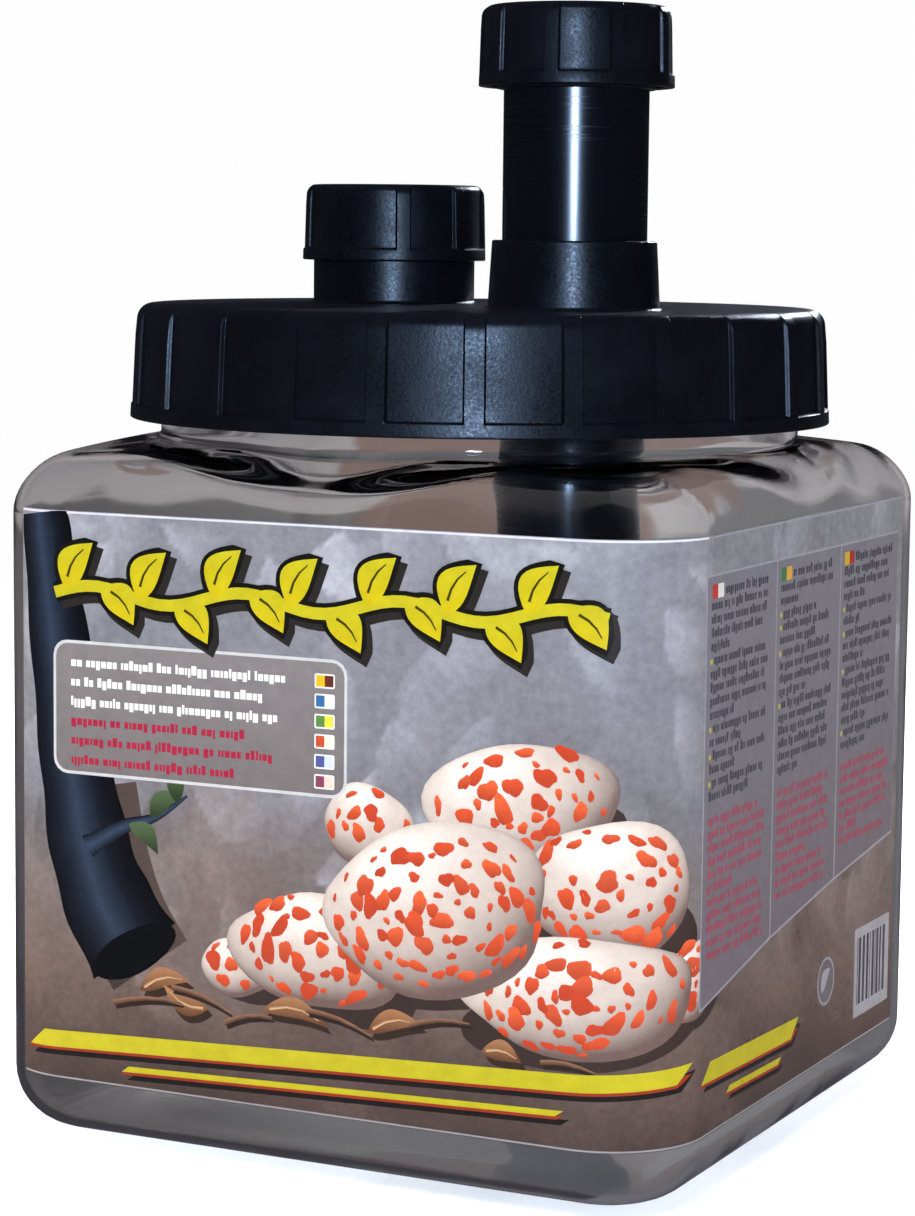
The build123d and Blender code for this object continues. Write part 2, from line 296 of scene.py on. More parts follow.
class Thread(NamedTuple):
    """A right-handed thread with soft shoulders and ends that fade out."""
    low: float              # middle of the thread where it starts
    turns: float
    half_width: float
    start: float            # angle at which it starts, in degrees
    height: float = 0.0
    lead: float = 1.0

    def stands(self, angle, z):
        """How far the thread stands at an angle and height."""
        end, shoulder = 0.06, 0.65  # the part of a turn that each end takes, and of the half width that is sloped
        share = ((angle - radians(self.start)) / (2 * pi)) % 1.0
        best = 0.0
        turn = 0
        while turn + share <= self.turns:
            along = turn + share
            fade = min(1.0, along / end, (self.turns - along) / end)
            off = abs(z - (self.low + self.lead * along)) / self.half_width
            best = max(best, fade * softened(clamped((1.0 - off) / shoulder)))
            turn += 1
        return self.height * best


# ---------------------------------------------------------------- materials
def new_material(name):
    """An empty node material."""
    material = bpy.data.materials.new(name)
    material.use_nodes = True
    material.node_tree.nodes.clear()
    return material


def add(owner, kind, inputs=None, stops=(), **settings):
    """Adds a node with its settings and, on a colour ramp, its stops of place and colour. An input takes a value, an
    output, or a node, of which it reads the first output in use."""
    tree = owner.node_tree
    node = tree.nodes.new(kind)
    for name, value in settings.items():
        setattr(node, name, value)
    while stops and len(node.color_ramp.elements) < len(stops):
        node.color_ramp.elements.new(0.5)
    for i, (place, tone) in enumerate(stops):
        node.color_ramp.elements[i].position = place
        node.color_ramp.elements[i].color = linear(tone) if isinstance(tone, str) else tone
    for name, value in (inputs or {}).items():
        if isinstance(value, bpy.types.Node):
            value = next(output for output in value.outputs if output.enabled)
        if isinstance(value, bpy.types.NodeSocket):
            tree.links.new(value, node.inputs[name])
        else:
            node.inputs[name].default_value = value
    return node


def grey(value):
    """A ramp colour of one level."""
    return (value, value, value, 1.0)


def clear_pet(colours):
    """Clear PET, stretch-blown in a mould: smooth and glassy, with faint waves that bend what shows through."""
    m = new_material("PET, clear, blow-moulded")
    place = add(m, "ShaderNodeTexCoord").outputs["Object"]
    # waves about 36 mm wide, upright streaks 11 mm wide, and haze in patches of 4 mm
    waves = add(m, "ShaderNodeTexNoise", {"Vector": place, "Scale": 28.0, "Detail": 2.0, "Roughness": 0.45})
    streaks = add(m, "ShaderNodeMapping", {"Vector": place, "Scale": (90.0, 90.0, 6.0)})
    fine = add(m, "ShaderNodeTexNoise", {"Vector": streaks, "Scale": 1.0, "Detail": 2.0})
    first = add(m, "ShaderNodeBump", {"Height": waves, "Strength": 0.35, "Distance": 0.9 * MM})
    second = add(m, "ShaderNodeBump", {"Height": fine, "Normal": first, "Strength": 0.25, "Distance": 0.12 * MM})
    haze = add(m, "ShaderNodeTexNoise", {"Vector": place, "Scale": 260.0, "Detail": 3.0})
    rough = add(m, "ShaderNodeValToRGB", {"Fac": haze}, [(0.35, grey(0.012)), (0.75, grey(0.06))])
    shader = add(m, "ShaderNodeBsdfPrincipled", {
        "Base Color": colours.pet, "Roughness": rough, "IOR": 1.57, "Transmission Weight": 1.0, "Normal": second})
    # the lamps' light goes on through the clear wall to what is inside
    lit_through = add(m, "ShaderNodeBsdfTransparent", {"Color": linear("#e4e4e6")})
    shadow = add(m, "ShaderNodeLightPath").outputs["Is Shadow Ray"]
    both = add(m, "ShaderNodeMixShader", {0: shadow, 1: shader, 2: lit_through})
    add(m, "ShaderNodeOutputMaterial", {"Surface": both})
    return m


def black_moulding(context):
    """Black polypropylene, injection-moulded in a lightly spark-eroded tool: satin, with a fine pebbled grain. It is
    made once, for all the pieces of it."""
    name = "Polypropylene, black, spark-grained"
    if name in bpy.data.materials:
        return bpy.data.materials[name]
    m = new_material(name)
    place = add(m, "ShaderNodeTexCoord").outputs["Object"]
    # the real grain is about 0.2 mm wide; the panel's default is 0.45 mm, so that it shows in the picture
    grain = add(m, "ShaderNodeTexNoise", {"Vector": place, "Scale": 1.0 / context.scene.keeper_sizes.grain,
                                          "Detail": 3.0, "Roughness": 0.6})
    # flow marks about 8 mm wide, and specks about 1.1 mm apart
    flow = add(m, "ShaderNodeTexNoise", {"Vector": place, "Scale": 120.0, "Detail": 2.0})
    specks = add(m, "ShaderNodeTexVoronoi", {"Vector": place, "Scale": 900.0, "Randomness": 1.0})
    shine = add(m, "ShaderNodeValToRGB", {"Fac": grain}, [(0.3, grey(0.24)), (0.7, grey(0.42))])
    scuff = add(m, "ShaderNodeValToRGB", {"Fac": flow}, [(0.4, grey(0.0)), (0.75, grey(0.10))])
    rough = add(m, "ShaderNodeMath", {0: shine, 1: scuff}, operation="ADD")
    tone = add(m, "ShaderNodeValToRGB", {"Fac": flow},
               [(0.3, context.scene.keeper_colours.moulding[:]), (0.8, "#0b0c12")])
    coarse = add(m, "ShaderNodeBump", {"Height": grain, "Strength": 0.55, "Distance": 0.05 * MM})
    fine = add(m, "ShaderNodeBump", {"Height": specks, "Normal": coarse, "Strength": 0.2, "Distance": 0.03 * MM})
    shader = add(m, "ShaderNodeBsdfPrincipled", {
        "Base Color": tone, "Roughness": rough, "IOR": 1.49, "Normal": fine, "Specular IOR Level": 0.27,
        "Specular Tint": linear("#cfe4ff")})
    add(m, "ShaderNodeOutputMaterial", {"Surface": shader})
    return m


def black_tube(colours):
    """Black extruded plastic tube: glossy along its draw, with hair scuffs round it where it slides in the collar."""
    m = new_material("PVC, black, extruded")
    place = add(m, "ShaderNodeTexCoord").outputs["Object"]
    # draw lines 1.4 mm wide, and scuffs 0.4 mm wide in patches of about 14 mm
    drawn = add(m, "ShaderNodeMapping", {"Vector": place, "Scale": (700.0, 700.0, 30.0)})
    lines = add(m, "ShaderNodeTexNoise", {"Vector": drawn, "Scale": 1.0, "Detail": 2.0})
    rubbed = add(m, "ShaderNodeMapping", {"Vector": place, "Scale": (60.0, 60.0, 2600.0),
                                          "Rotation": (0.08, 0.05, 0.0)})
    scuffs = add(m, "ShaderNodeTexNoise", {"Vector": rubbed, "Scale": 1.0, "Detail": 3.0})
    patches = add(m, "ShaderNodeTexNoise", {"Vector": place, "Scale": 70.0, "Detail": 2.0})
    where = add(m, "ShaderNodeValToRGB", {"Fac": patches}, [(0.45, grey(0.0)), (0.65, grey(1.0))])
    marks = add(m, "ShaderNodeValToRGB", {"Fac": scuffs}, [(0.55, grey(0.0)), (0.68, grey(0.22))])
    worn = add(m, "ShaderNodeMath", {0: where, 1: marks}, operation="MULTIPLY")
    rough = add(m, "ShaderNodeMath", {0: worn, 1: 0.2}, operation="ADD")
    draw_lines = add(m, "ShaderNodeBump", {"Height": lines, "Strength": 0.25, "Distance": 0.02 * MM})
    wear = add(m, "ShaderNodeBump", {"Height": worn, "Normal": draw_lines, "Strength": 0.3, "Distance": 0.03 * MM})
    shader = add(m, "ShaderNodeBsdfPrincipled", {
        "Base Color": colours.tube[:], "Roughness": rough, "IOR": 1.53, "Specular Tint": linear("#cfe4ff"),
        "Normal": wear})
    add(m, "ShaderNodeOutputMaterial", {"Surface": shader})
    return m


def liner_foam(colours):
    """Expanded polyethylene foam, skived: matt, off-white, with fine open-cut cells."""
    m = new_material("Polyethylene foam, skived")
    place = add(m, "ShaderNodeTexCoord").outputs["Object"]
    # cells are about 0.5 mm across; the hollow of each cell is painted darker, as painted shade in the pits
    cells = add(m, "ShaderNodeTexVoronoi", {"Vector": place, "Scale": 2000.0})
    # painted shade: darker in the middle of each cell, where the bump sinks it
    tone = add(m, "ShaderNodeValToRGB", {"Fac": cells}, [(0.0, "#b9b9b2"), (0.5, colours.foam[:])])
    pits = add(m, "ShaderNodeBump", {"Height": cells, "Strength": 0.5, "Distance": 0.12 * MM})
    shader = add(m, "ShaderNodeBsdfPrincipled", {"Base Color": tone, "Roughness": 0.85, "IOR": 1.5, "Normal": pits,
                                                 "Sheen Weight": 0.15})
    add(m, "ShaderNodeOutputMaterial", {"Surface": shader})
    return m


def film_gloss(m, place, tone, roughness):
    """Ends a print's material with the film's own gloss, over slow ripples in the film about 17 mm apart."""
    ripple = add(m, "ShaderNodeTexNoise", {"Vector": place, "Scale": 1.0 / 17.0, "Detail": 1.0})
    waves = add(m, "ShaderNodeBump", {"Height": ripple, "Strength": 0.3, "Distance": 0.4 * MM})
    shader = add(m, "ShaderNodeBsdfPrincipled", {"Base Color": tone, "Roughness": roughness, "IOR": 1.49,
                                                 "Normal": waves})
    add(m, "ShaderNodeOutputMaterial", {"Surface": shader})
    return m


def printed_ground():
    """Glossy polypropylene label film, offset-printed: a blurred leafy grey-lilac ground that turns to brown sand.
    The map "wrap" is in millimetres along the film, so a scale of 1/38 gives patches about 38 mm wide."""
    m = new_material("Label film, offset-printed ground")
    place = add(m, "ShaderNodeUVMap", uv_map="wrap")
    drift = add(m, "ShaderNodeTexNoise", {"Vector": place, "Scale": 1.0 / 38.0, "Detail": 3.0, "Roughness": 0.55})
    blots = add(m, "ShaderNodeTexNoise", {"Vector": place, "Scale": 1.0 / 11.0, "Detail": 5.0, "Roughness": 0.6,
                                          "Distortion": 0.8})
    sand = add(m, "ShaderNodeTexNoise", {"Vector": place, "Scale": 1.0 / 1.6, "Detail": 3.0, "Roughness": 0.65})
    high = add(m, "ShaderNodeSeparateXYZ", {0: place}).outputs["Y"]
    shift = add(m, "ShaderNodeMath", {0: drift, 1: 60.0, 2: high}, operation="MULTIPLY_ADD")
    level = add(m, "ShaderNodeMapRange", {"Value": shift, "From Min": 32.0, "From Max": 130.0})
    ground = add(m, "ShaderNodeValToRGB", {"Fac": level}, [
        (0.0, "#40342f"), (0.13, "#50403a"), (0.3, "#65534c"), (0.48, "#6e6462"), (0.62, "#6e6b6f"),
        (0.82, "#757479"), (1.0, "#7a797e")])
    wash = add(m, "ShaderNodeAttribute", attribute_name="wash", attribute_type="GEOMETRY")
    bare = add(m, "ShaderNodeMix", {0: wash.outputs["Alpha"], 6: ground, 7: grey(0.0)}, data_type="RGBA")
    tone = add(m, "ShaderNodeMix", {0: 1.0, 6: bare, 7: wash}, data_type="RGBA", blend_type="ADD")
    for source, strength, stops in ((blots, 0.24, (0.30, 0.5, 0.72)), (sand, 0.45, (0.36, 0.5, 0.66))):
        grain = add(m, "ShaderNodeValToRGB", {"Fac": source},
                    [(at, grey(value)) for at, value in zip((0.3, 0.5, 0.7), stops)])
        tone = add(m, "ShaderNodeMix", {0: strength, 6: tone, 7: grain}, data_type="RGBA", blend_type="OVERLAY")
    return film_gloss(m, place, tone, 0.18)


def printed_ink():
    """Offset inks on the same film: each printed shape keeps its own ink, lightly mottled by the halftone."""
    m = new_material("Offset ink on label film")
    place = add(m, "ShaderNodeUVMap", uv_map="wrap")
    ink = add(m, "ShaderNodeAttribute", attribute_name="ink", attribute_type="GEOMETRY")
    # blots about 3.2 mm wide: the real halftone is finer than the picture shows
    blots = add(m, "ShaderNodeTexNoise", {"Vector": place, "Scale": 1.0 / 3.2, "Detail": 5.0, "Roughness": 0.65})
    mottle = add(m, "ShaderNodeValToRGB", {"Fac": blots}, [(0.3, grey(0.4)), (0.5, grey(0.5)), (0.7, grey(0.6))])
    tone = add(m, "ShaderNodeMix", {0: 0.45, 6: ink, 7: mottle}, data_type="RGBA", blend_type="OVERLAY")
    return film_gloss(m, place, tone, 0.17)


def film_back():
    """The film's unprinted back: white, with the adhesive's dull, slightly blotchy look through the wall."""
    m = new_material("Label film, white back")
    place = add(m, "ShaderNodeTexCoord").outputs["Object"]
    # blotches about 11 mm wide
    glue = add(m, "ShaderNodeTexNoise", {"Vector": place, "Scale": 90.0, "Detail": 3.0})
    tone = add(m, "ShaderNodeValToRGB", {"Fac": glue}, [(0.3, "#c9c8c6"), (0.7, "#dddcda")])
    shader = add(m, "ShaderNodeBsdfPrincipled", {"Base Color": tone, "Roughness": 0.6, "IOR": 1.49})
    add(m, "ShaderNodeOutputMaterial", {"Surface": shader})
    return m


# ---------------------------------------------------------------- jar
def square_r(angle, half, corner):
    """Distance from the middle to a rounded square's edge, along an angle."""
    ux, uy = abs(cos(angle)), abs(sin(angle))
    if ux < uy:
        ux, uy = uy, ux
    inner = half - corner
    if half * uy / ux <= inner:
        return half / ux
    along = inner * (ux + uy)
    return along + sqrt(max(along * along - 2 * inner * inner + corner * corner, 0.0))


def rounded_r(angle, inset, drawn_in):
    """Distance to the jar's wall where a rounding has drawn it in, on its outside or inset from it."""
    return square_r(angle, JAR_HALF - inset - drawn_in, JAR_CORNER - inset - drawn_in)


def jar_angles():
    """Angles round the jar, closer together at the four corners."""
    side = degrees(atan2(JAR_INNER, JAR_HALF))
    eighth = spaced(-side, side, 1.6)[:-1] + spaced(side, 90.0 - side, 0.95)[:-1]
    return [radians(quarter * 90.0 + a) for quarter in range(4) for a in eighth]


def shoulder_part(angle, inset, wall_r, root_r):
    """The run from the neck's or the bore's wall out to the side wall: root rounding, flat, shoulder rounding."""
    rounding, top = JAR_ROUND - inset, SHOULDER_Z - inset

    def at(t):
        return rounded_r(angle, inset, rounding * (1 - sin(t))), top - rounding + rounding * cos(t)
    turn = np.radians(np.linspace(0.0, 90.0, 61))
    line_r, line_z = np.array([at(t) for t in turn]).T
    # a ball of the root's radius rolls down the neck's wall until it rests on the shoulder
    reach = np.linspace(wall_r, wall_r + 2 * root_r, 81)
    below = np.interp(reach, np.concatenate([[0.0], line_r]), np.concatenate([[top], line_z]))
    ball = below + np.sqrt(np.maximum(root_r ** 2 - (reach - wall_r - root_r) ** 2, 0.0))
    touch = int(np.argmax(ball))
    end = degrees(atan2(below[touch] - ball[touch], reach[touch] - wall_r - root_r)) % 360.0
    points = arc(wall_r + root_r, ball[touch], root_r, 180.0, end, 8)
    flat_end = max(line_r[0], reach[touch])
    points += [(r, top if r <= line_r[0] else below[touch])
               for r in np.linspace(reach[touch], flat_end, 5)[1:]]
    start = 0.0 if flat_end <= line_r[0] + 1e-9 else float(np.interp(reach[touch], line_r, turn))
    return points + [at(t) for t in np.linspace(start, pi / 2, 13)[1:]]


def base_part(angle, inset):
    """The run from the side wall down the base rounding, over the standing ring and the hollow, to the middle."""
    rounding = JAR_ROUND - inset
    points = [(rounded_r(angle, inset, rounding * (1 - cos(t))), inset + rounding * (1 - sin(t)))
              for t in np.radians(np.linspace(0.0, 90.0, 11))]
    # the hollow is a soft dome: each ring's half width, and its share of the rise
    for half, share in ((STAND_HALF + 1.2, 0.0), (STAND_HALF - 0.3, 0.02), (STAND_HALF - 2.0, 0.09),
                        (STAND_HALF - 4.5, 0.26), (STAND_HALF - 7.5, 0.5), (STAND_HALF - 11.0, 0.74),
                        (STAND_HALF - 15.0, 0.91), (STAND_HALF - 20.0, 1.0), (13.0, 1.02)):
        points.append((square_r(angle, half + 0.4 * inset, min(14.0, half * 0.6)), PUSH_UP * share + inset))
    points.append((0.0, PUSH_UP + 0.1 + inset))
    return points


def swelling(angle, r, z):
    """Extra thickness of the blown wall inside the shoulder: most at the neck's root, in slow waves."""
    near = clamped((SHOULDER_Z + 1.8 - z) / 1.8) * clamped((z - SHOULDER_Z + 11.0) / 6.0)
    root = max(0.0, 1.0 - ((r - NECK_BORE_R - 4.2) / 5.0) ** 2)
    waves = sin(5 * angle - 0.6) + 0.5 * sin(9 * angle + r * 0.35) + 0.12 * sin(17 * angle - r * 0.5 + 1.1)
    heavy = 0.85 - 0.45 * max(0.0, cos(angle - 0.2)) ** 2
    return near * (heavy * root * root + 0.12 * waves * min(1.0, (r - NECK_BORE_R) / 3.0))


def settled(r, z):
    """The height after the shoulder's gentle fall towards the corners."""
    slope, start_z, fade_z = 0.115, 94.0, 20.0
    return z - slope * max(0.0, r - NECK_R - 1.0) * softened(clamped((z - start_z) / fade_z))


class KEEPER_OT_jar(bpy.types.Operator):
    """The clear jar: square body, blended neck root, threaded neck with a rounded rim, and a hollow base"""
    bl_idname = "keeper.jar"
    bl_label = "Clear Jar"

    def execute(self, context):
        sizes = context.scene.keeper_sizes
        thread = Thread(NECK_THREAD_Z, 1.62, 1.25, 25.0, sizes.thread_height / MM, sizes.thread_lead / MM)
        wall_z = np.linspace(JAR_ROUND, SHOULDER_Z - JAR_ROUND, 9)[1:-1]
        angles = jar_angles()
        outlines = []
        for angle in angles:
            outline = base_part(angle, 0.0)[::-1]
            outline += [(square_r(angle, JAR_HALF, JAR_CORNER), z) for z in wall_z]
            shoulder = shoulder_part(angle, 0.0, NECK_R, NECK_FLARE)
            outline += shoulder[::-1]
            low = shoulder[0][1]
            neck_z = [low + (NECK_PLAIN_Z - low) * k / 3 for k in (1, 2, 3)]
            neck_z += spaced(NECK_PLAIN_Z + 0.3, RIM_Z - 0.6, 0.32)
            outline += [(NECK_R + thread.stands(angle, z), z) for z in neck_z]
            outline += edge(0, NECK_R, RIM_Z, RIM_ROUND, 4) + edge(1, NECK_BORE_R, RIM_Z, RIM_ROUND, 4)
            inner = [(r - swelling(angle, r, z) * 0.4, z - swelling(angle, r, z))
                     for r, z in shoulder_part(angle, WALL, NECK_BORE_R, BORE_FLARE)]
            low = inner[0][1]
            outline += [(NECK_BORE_R, RIM_Z - 0.6 - (RIM_Z - 0.6 - low) * k / 8) for k in range(1, 8)] + inner
            outline += [(square_r(angle, JAR_HALF - WALL, JAR_CORNER - WALL), z) for z in wall_z[::-1]]
            outlines.append(outline + base_part(angle, WALL))

        def place(column, row):
            radius, z = outlines[column][row]
            return radius * cos(angles[column]), radius * sin(angles[column]), settled(radius, z)
        jar = wrapped_grid("clear_jar", len(angles), len(outlines[0]) - 1, place)
        smooth(jar, 60.0)
        finished(jar, "jar", "clear_jar", clear_pet(context.scene.keeper_colours), "jar")
        return {"FINISHED"}


# ---------------------------------------------------------------- label
def on_wrap(s, z, out):
    """A point of the wrap: s along the film from its left end, z up, out from the jar's wall."""
    radius = JAR_CORNER + out
    if s < LEFT_ARC:
        angle = radians(240.0) + s / JAR_CORNER
        return -JAR_INNER + radius * cos(angle), -JAR_INNER + radius * sin(angle), z
    s -= LEFT_ARC
    if s < FRONT:
        return -JAR_INNER + s, -JAR_INNER - radius, z
    s -= FRONT
    if s < NEAR_ARC:
        angle = radians(270.0) + s / JAR_CORNER
        return JAR_INNER + radius * cos(angle), -JAR_INNER + radius * sin(angle), z
    return JAR_INNER + radius, -JAR_INNER + s - NEAR_ARC, z


def along_wrap(p):
    """How far along the film a point of it lies, from its left end."""
    if p.y < -JAR_INNER and p.x < -JAR_INNER:
        return (atan2(p.y + JAR_INNER, p.x + JAR_INNER) % (2 * pi) - radians(240.0)) * JAR_CORNER
    if p.x <= JAR_INNER:
        return LEFT_ARC + p.x + JAR_INNER
    if p.y < -JAR_INNER:
        return LEFT_ARC + FRONT + (atan2(p.y + JAR_INNER, p.x - JAR_INNER) + pi / 2) * JAR_CORNER
    return LEFT_ARC + FRONT + NEAR_ARC + p.y + JAR_INNER


def wrap_stations(flat_step):
    """Places along the film where it is divided: close together round the corners."""
    return (spaced(0.0, LEFT_ARC, 0.7)[:-1] + spaced(LEFT_ARC, LEFT_ARC + FRONT, flat_step)[:-1]
            + spaced(LEFT_ARC + FRONT, LEFT_ARC + FRONT + NEAR_ARC, 0.7)[:-1]
            + spaced(LEFT_ARC + FRONT + NEAR_ARC, FILM_LENGTH, flat_step))


def mixed_ink(ink):
    """An ink as linear colour, from a hex code or from the panel's own colour."""
    return linear(ink) if isinstance(ink, str) else list(ink)


def blend(one, two, t):
    """A colour between two."""
    return [one[k] + (two[k] - one[k]) * t for k in range(4)]


def turned_point(s, z, x, y, turn):
    """A point at (x, y) from (s, z) after a turn in degrees."""
    a = radians(turn)
    return s + x * cos(a) - y * sin(a), z + x * sin(a) + y * cos(a)


def bowed(s, z, length, turn, shares, rise):
    """A bowed line from (s, z), as points at these shares of its length, that rises by so much in its middle."""
    return [turned_point(s, z, t * length, rise * sin(pi * t), turn) for t in shares]


def moved(line, ds, dz):
    """The line of points, moved."""
    return [(s + ds, z + dz) for s, z in line]


def eased(line, steps):
    """A smooth curve through the points."""
    curve = []
    for i in range(len(line) - 1):
        before, start, end, after = line[max(i - 1, 0)], line[i], line[i + 1], line[min(i + 2, len(line) - 1)]
        for step in range(steps):
            t = step / steps
            curve.append(tuple(
                0.5 * (2 * b + (c - a) * t + (2 * a - 5 * b + 4 * c - d) * t * t + (3 * b - a - 3 * c + d) * t ** 3)
                for a, b, c, d in zip(before, start, end, after)))
    return curve + [line[-1]]


class Artwork:
    """Flat printed shapes on the film, drawn in (along, up) millimetres, later ones over earlier ones.
    A shape is a list of faces, and each corner of a face is (along, up, ink)."""

    def __init__(self, seed, bar_height):
        self.shapes = []
        self.dice = random.Random(seed)
        self.bar_height = bar_height

    def shape(self, points, ink, shade=None):
        """One closed outline in one ink, or turning to a second ink at its lower edge."""
        ink = mixed_ink(ink)
        shade = mixed_ink(shade or ink)
        low, high = min(z for _, z in points), max(z for _, z in points)
        self.shapes.append([[(s, z, blend(shade, ink, softened((z - low) / max(high - low, 1e-6))))
                             for s, z in points]])

    def sheet(self, rows):
        """A shaded shape from rows of corners, each row with as many corners as the next."""
        self.shapes.append([[one[i], one[i + 1], two[i + 1], two[i]]
                            for one, two in zip(rows, rows[1:]) for i in range(len(one) - 1)])

    def box(self, s0, z0, s1, z1, ink, corner=0.0, shade=None):
        """A box with rounded corners."""
        points = []
        for cx, cz, start in ((s1 - corner, z1 - corner, 0), (s0 + corner, z1 - corner, 90),
                              (s0 + corner, z0 + corner, 180), (s1 - corner, z0 + corner, 270)):
            points += arc(cx, cz, corner, start, start + 90, 4) if corner else [(cx, cz)]
        self.shape(points, ink, shade)

    def squares(self, s, z, width, height, inks):
        """Two coloured blocks side by side."""
        for i, ink in enumerate(inks):
            self.box(s + i * width, z, s + (i + 1) * width, z + height, ink)

    def leaf(self, s, z, length, width, turn, ink, grow=0.0, shade=None, bend=0.15):
        """A pointed leaf from its stalk end at (s, z)."""
        points = []
        for side in (1, -1):
            for i in range(12):
                t = i / 12 if side == 1 else 1 - i / 12
                x = -grow + t * (length + 2 * grow)
                y = side * (width / 2 * sin(pi * t ** 0.8) + grow) + bend * length * sin(pi * t)
                points.append(turned_point(s, z, x, y, turn))
        self.shape(points, ink, shade)

    def uneven(self, share):
        """A rounded outline's uneven growth, by angle."""
        phase = [self.dice.uniform(0, 2 * pi) for _ in range(3)]
        return lambda t: 1 + sum(part * sin(waves * t + start)
                                 for part, waves, start in zip(share, (2, 3, 5), phase))

    def stone(self, s, z, rx, rz, turn, light, body, dark):
        """A rounded pebble, lit from above on the left."""
        swell = self.uneven((0.07, 0.042, 0.021))
        light, body, dark = linear(light), linear(body), linear(dark)
        rows = []
        for r in (0.0, 0.3, 0.55, 0.75, 0.88, 0.96, 1.0):
            row = []
            for t in spaced(0.0, 2 * pi, pi / 20):
                u, v = r * cos(t), r * sin(t)
                facing = -0.32 * u + 0.62 * v + 0.72 * sqrt(max(1 - r * r, 0.0))
                tone = blend(dark, body, clamped(facing * 1.25 + 0.25))
                tone = blend(tone, light, max(facing - 0.72, 0.0) * 3.0)
                row.append((*turned_point(s, z, rx * swell(t) * u, rz * swell(t) * v, turn), tone))
            rows.append(row)
        self.sheet(rows)

    def blob(self, s, z, rx, rz, ink, turn=0.0, rough=0.12, count=26, shade=None):
        """An uneven oval."""
        swell = self.uneven((0.5 * rough, 0.35 * rough, 0.2 * rough))
        self.shape([turned_point(s, z, rx * swell(t) * cos(t), rz * swell(t) * sin(t), turn)
                    for t in (2 * pi * i / count for i in range(count))], ink, shade)

    def stroke(self, line, widths, inks):
        """A band of changing width along a line of points, shaded across by its inks from left to right."""
        inks = [mixed_ink(ink) for ink in inks]
        if len(inks) == 1:
            inks = inks * 2
        rows = []
        for i, (s, z) in enumerate(line):
            before, after = line[max(i - 1, 0)], line[min(i + 1, len(line) - 1)]
            dx, dz = after[0] - before[0], after[1] - before[1]
            size = hypot(dx, dz) or 1.0
            width = widths[min(i, len(widths) - 1)]
            row = []
            for k, ink in enumerate(inks):
                off = (k / (len(inks) - 1) - 0.5) * width
                row.append((s - dz / size * off, z + dx / size * off, ink))
            rows.append(row)
        self.sheet(rows)

    def bars(self, s0, s1, z, ink, last=False):
        """One line of small plain bars in uneven groups; the last line of a block is short."""
        faces = []
        ink = linear(ink)
        h = self.bar_height
        s = s0
        end = s0 + (s1 - s0) * (self.dice.uniform(0.3, 0.7) if last else self.dice.uniform(0.9, 1.0))
        while s < end - h:
            for _ in range(self.dice.choice((2, 3, 4, 5, 5, 6, 7, 9))):
                width = h * self.dice.choice((0.28, 0.5, 0.5, 0.62))
                low, high = self.dice.choice(((0, 0.72), (0, 0.72), (0, 0.72), (0, 1.0), (-0.25, 0.72)))
                if s + width > end:
                    break
                faces.append([(s, z + low * h, ink), (s + width, z + low * h, ink),
                              (s + width, z + high * h, ink), (s, z + high * h, ink)])
                s += width + 0.13 * h
            s += 0.42 * h
        if faces:
            self.shapes.append(faces)


def petal_wash(dice, s, z):
    """Blurred petals behind the picture: a colour and a strength for each place (s, z) of the film."""
    upper_inks, lower_inks = ("#b3b1b8", "#a4a2a9", "#97959d", "#6d6a72"), ("#93857e", "#7d6e67", "#382c28")
    wash = np.zeros((len(s), 4))
    for _ in range(170):
        stalk_s, stalk_z = dice.uniform(-4, 208), dice.uniform(24, 102)
        low = clamped((stalk_z - 30) / 60)
        ink = dice.choice(upper_inks if low > 0.35 else lower_inks)
        length, width = dice.uniform(13, 24), dice.uniform(7, 13)
        turn = radians(dice.uniform(20, 200))
        x = (s - stalk_s) * cos(turn) + (z - stalk_z) * sin(turn)
        y = (z - stalk_z) * cos(turn) - (s - stalk_s) * sin(turn)
        t = np.clip(x / length, 0.0, 1.0)
        v = np.clip(y / (width / 2 * np.sin(pi * np.minimum(t ** 0.75, 0.985)) + 0.02), -1.0, 1.0)
        fade = t * (0.625 + 0.375 * v) * np.minimum(1.0, (1 - abs(v)) * 9) * np.minimum(1.0, (1 - t) * 9)
        fade = (fade * dice.uniform(0.6, 1.0) * (0.5 + 0.5 * low))[:, None]
        wash = wash * (1 - fade) + fade * np.array(linear(ink))
    return wash


def draw_edge_lines(art):
    """Thin pale lines along the film's upper and lower edges, over the front and over the side."""
    side_start, end = 124.0, FILM_LENGTH - 0.3
    art.box(0.3, FILM_HIGH - 0.45, side_start, FILM_HIGH - 0.12, "#c4c2c8")
    art.box(side_start, FILM_HIGH - 0.4, end, FILM_HIGH - 0.15, "#8d8b91")
    art.box(0.3, FILM_LOW + 0.12, end, FILM_LOW + 0.4, "#8d888a")


def draw_garland(art, yellow):
    """A bold yellow garland of leaves, outlined in black with a dropped shadow, across the top of the front."""
    def stem_z(s):
        return 91.6 + 1.3 * sin((s - 8) * 0.224) + (s - 8) * 0.014
    stem = [(s, stem_z(s)) for s in spaced(8.0, 106.0, 2.0)]
    # each leaf's stalk end, with its length, width and turn: long ones up, short ones down
    leaves = [(s, stem_z(s), *((8.4, 5.5, -44) if i % 2 else (9.4, 5.5, 56)))
              for i, s in enumerate(10.0 + 6.9 * i for i in range(14))]
    for ds, dz, grow, ink in ((1.0, -1.1, 0.75, "#262220"), (0.0, 0.0, 0.72, "#14130e")):
        art.stroke(moved(stem, ds, dz), [1.9 + grow * 2], [ink])
        for s, z, *form in leaves:
            art.leaf(s + ds, z + dz, *form, ink, grow=grow)
    art.stroke(stem, [1.9], [yellow])
    for s, z, length, width, turn in leaves:
        art.leaf(s, z, length, width, turn, yellow, shade="#b9a410")
        vein = bowed(s, z, length, turn, (0.2, 0.4, 0.6, 0.8), 0.15 * length)
        art.stroke(vein, [0.5, 0.42, 0.34, 0.2], ["#3a350c"])


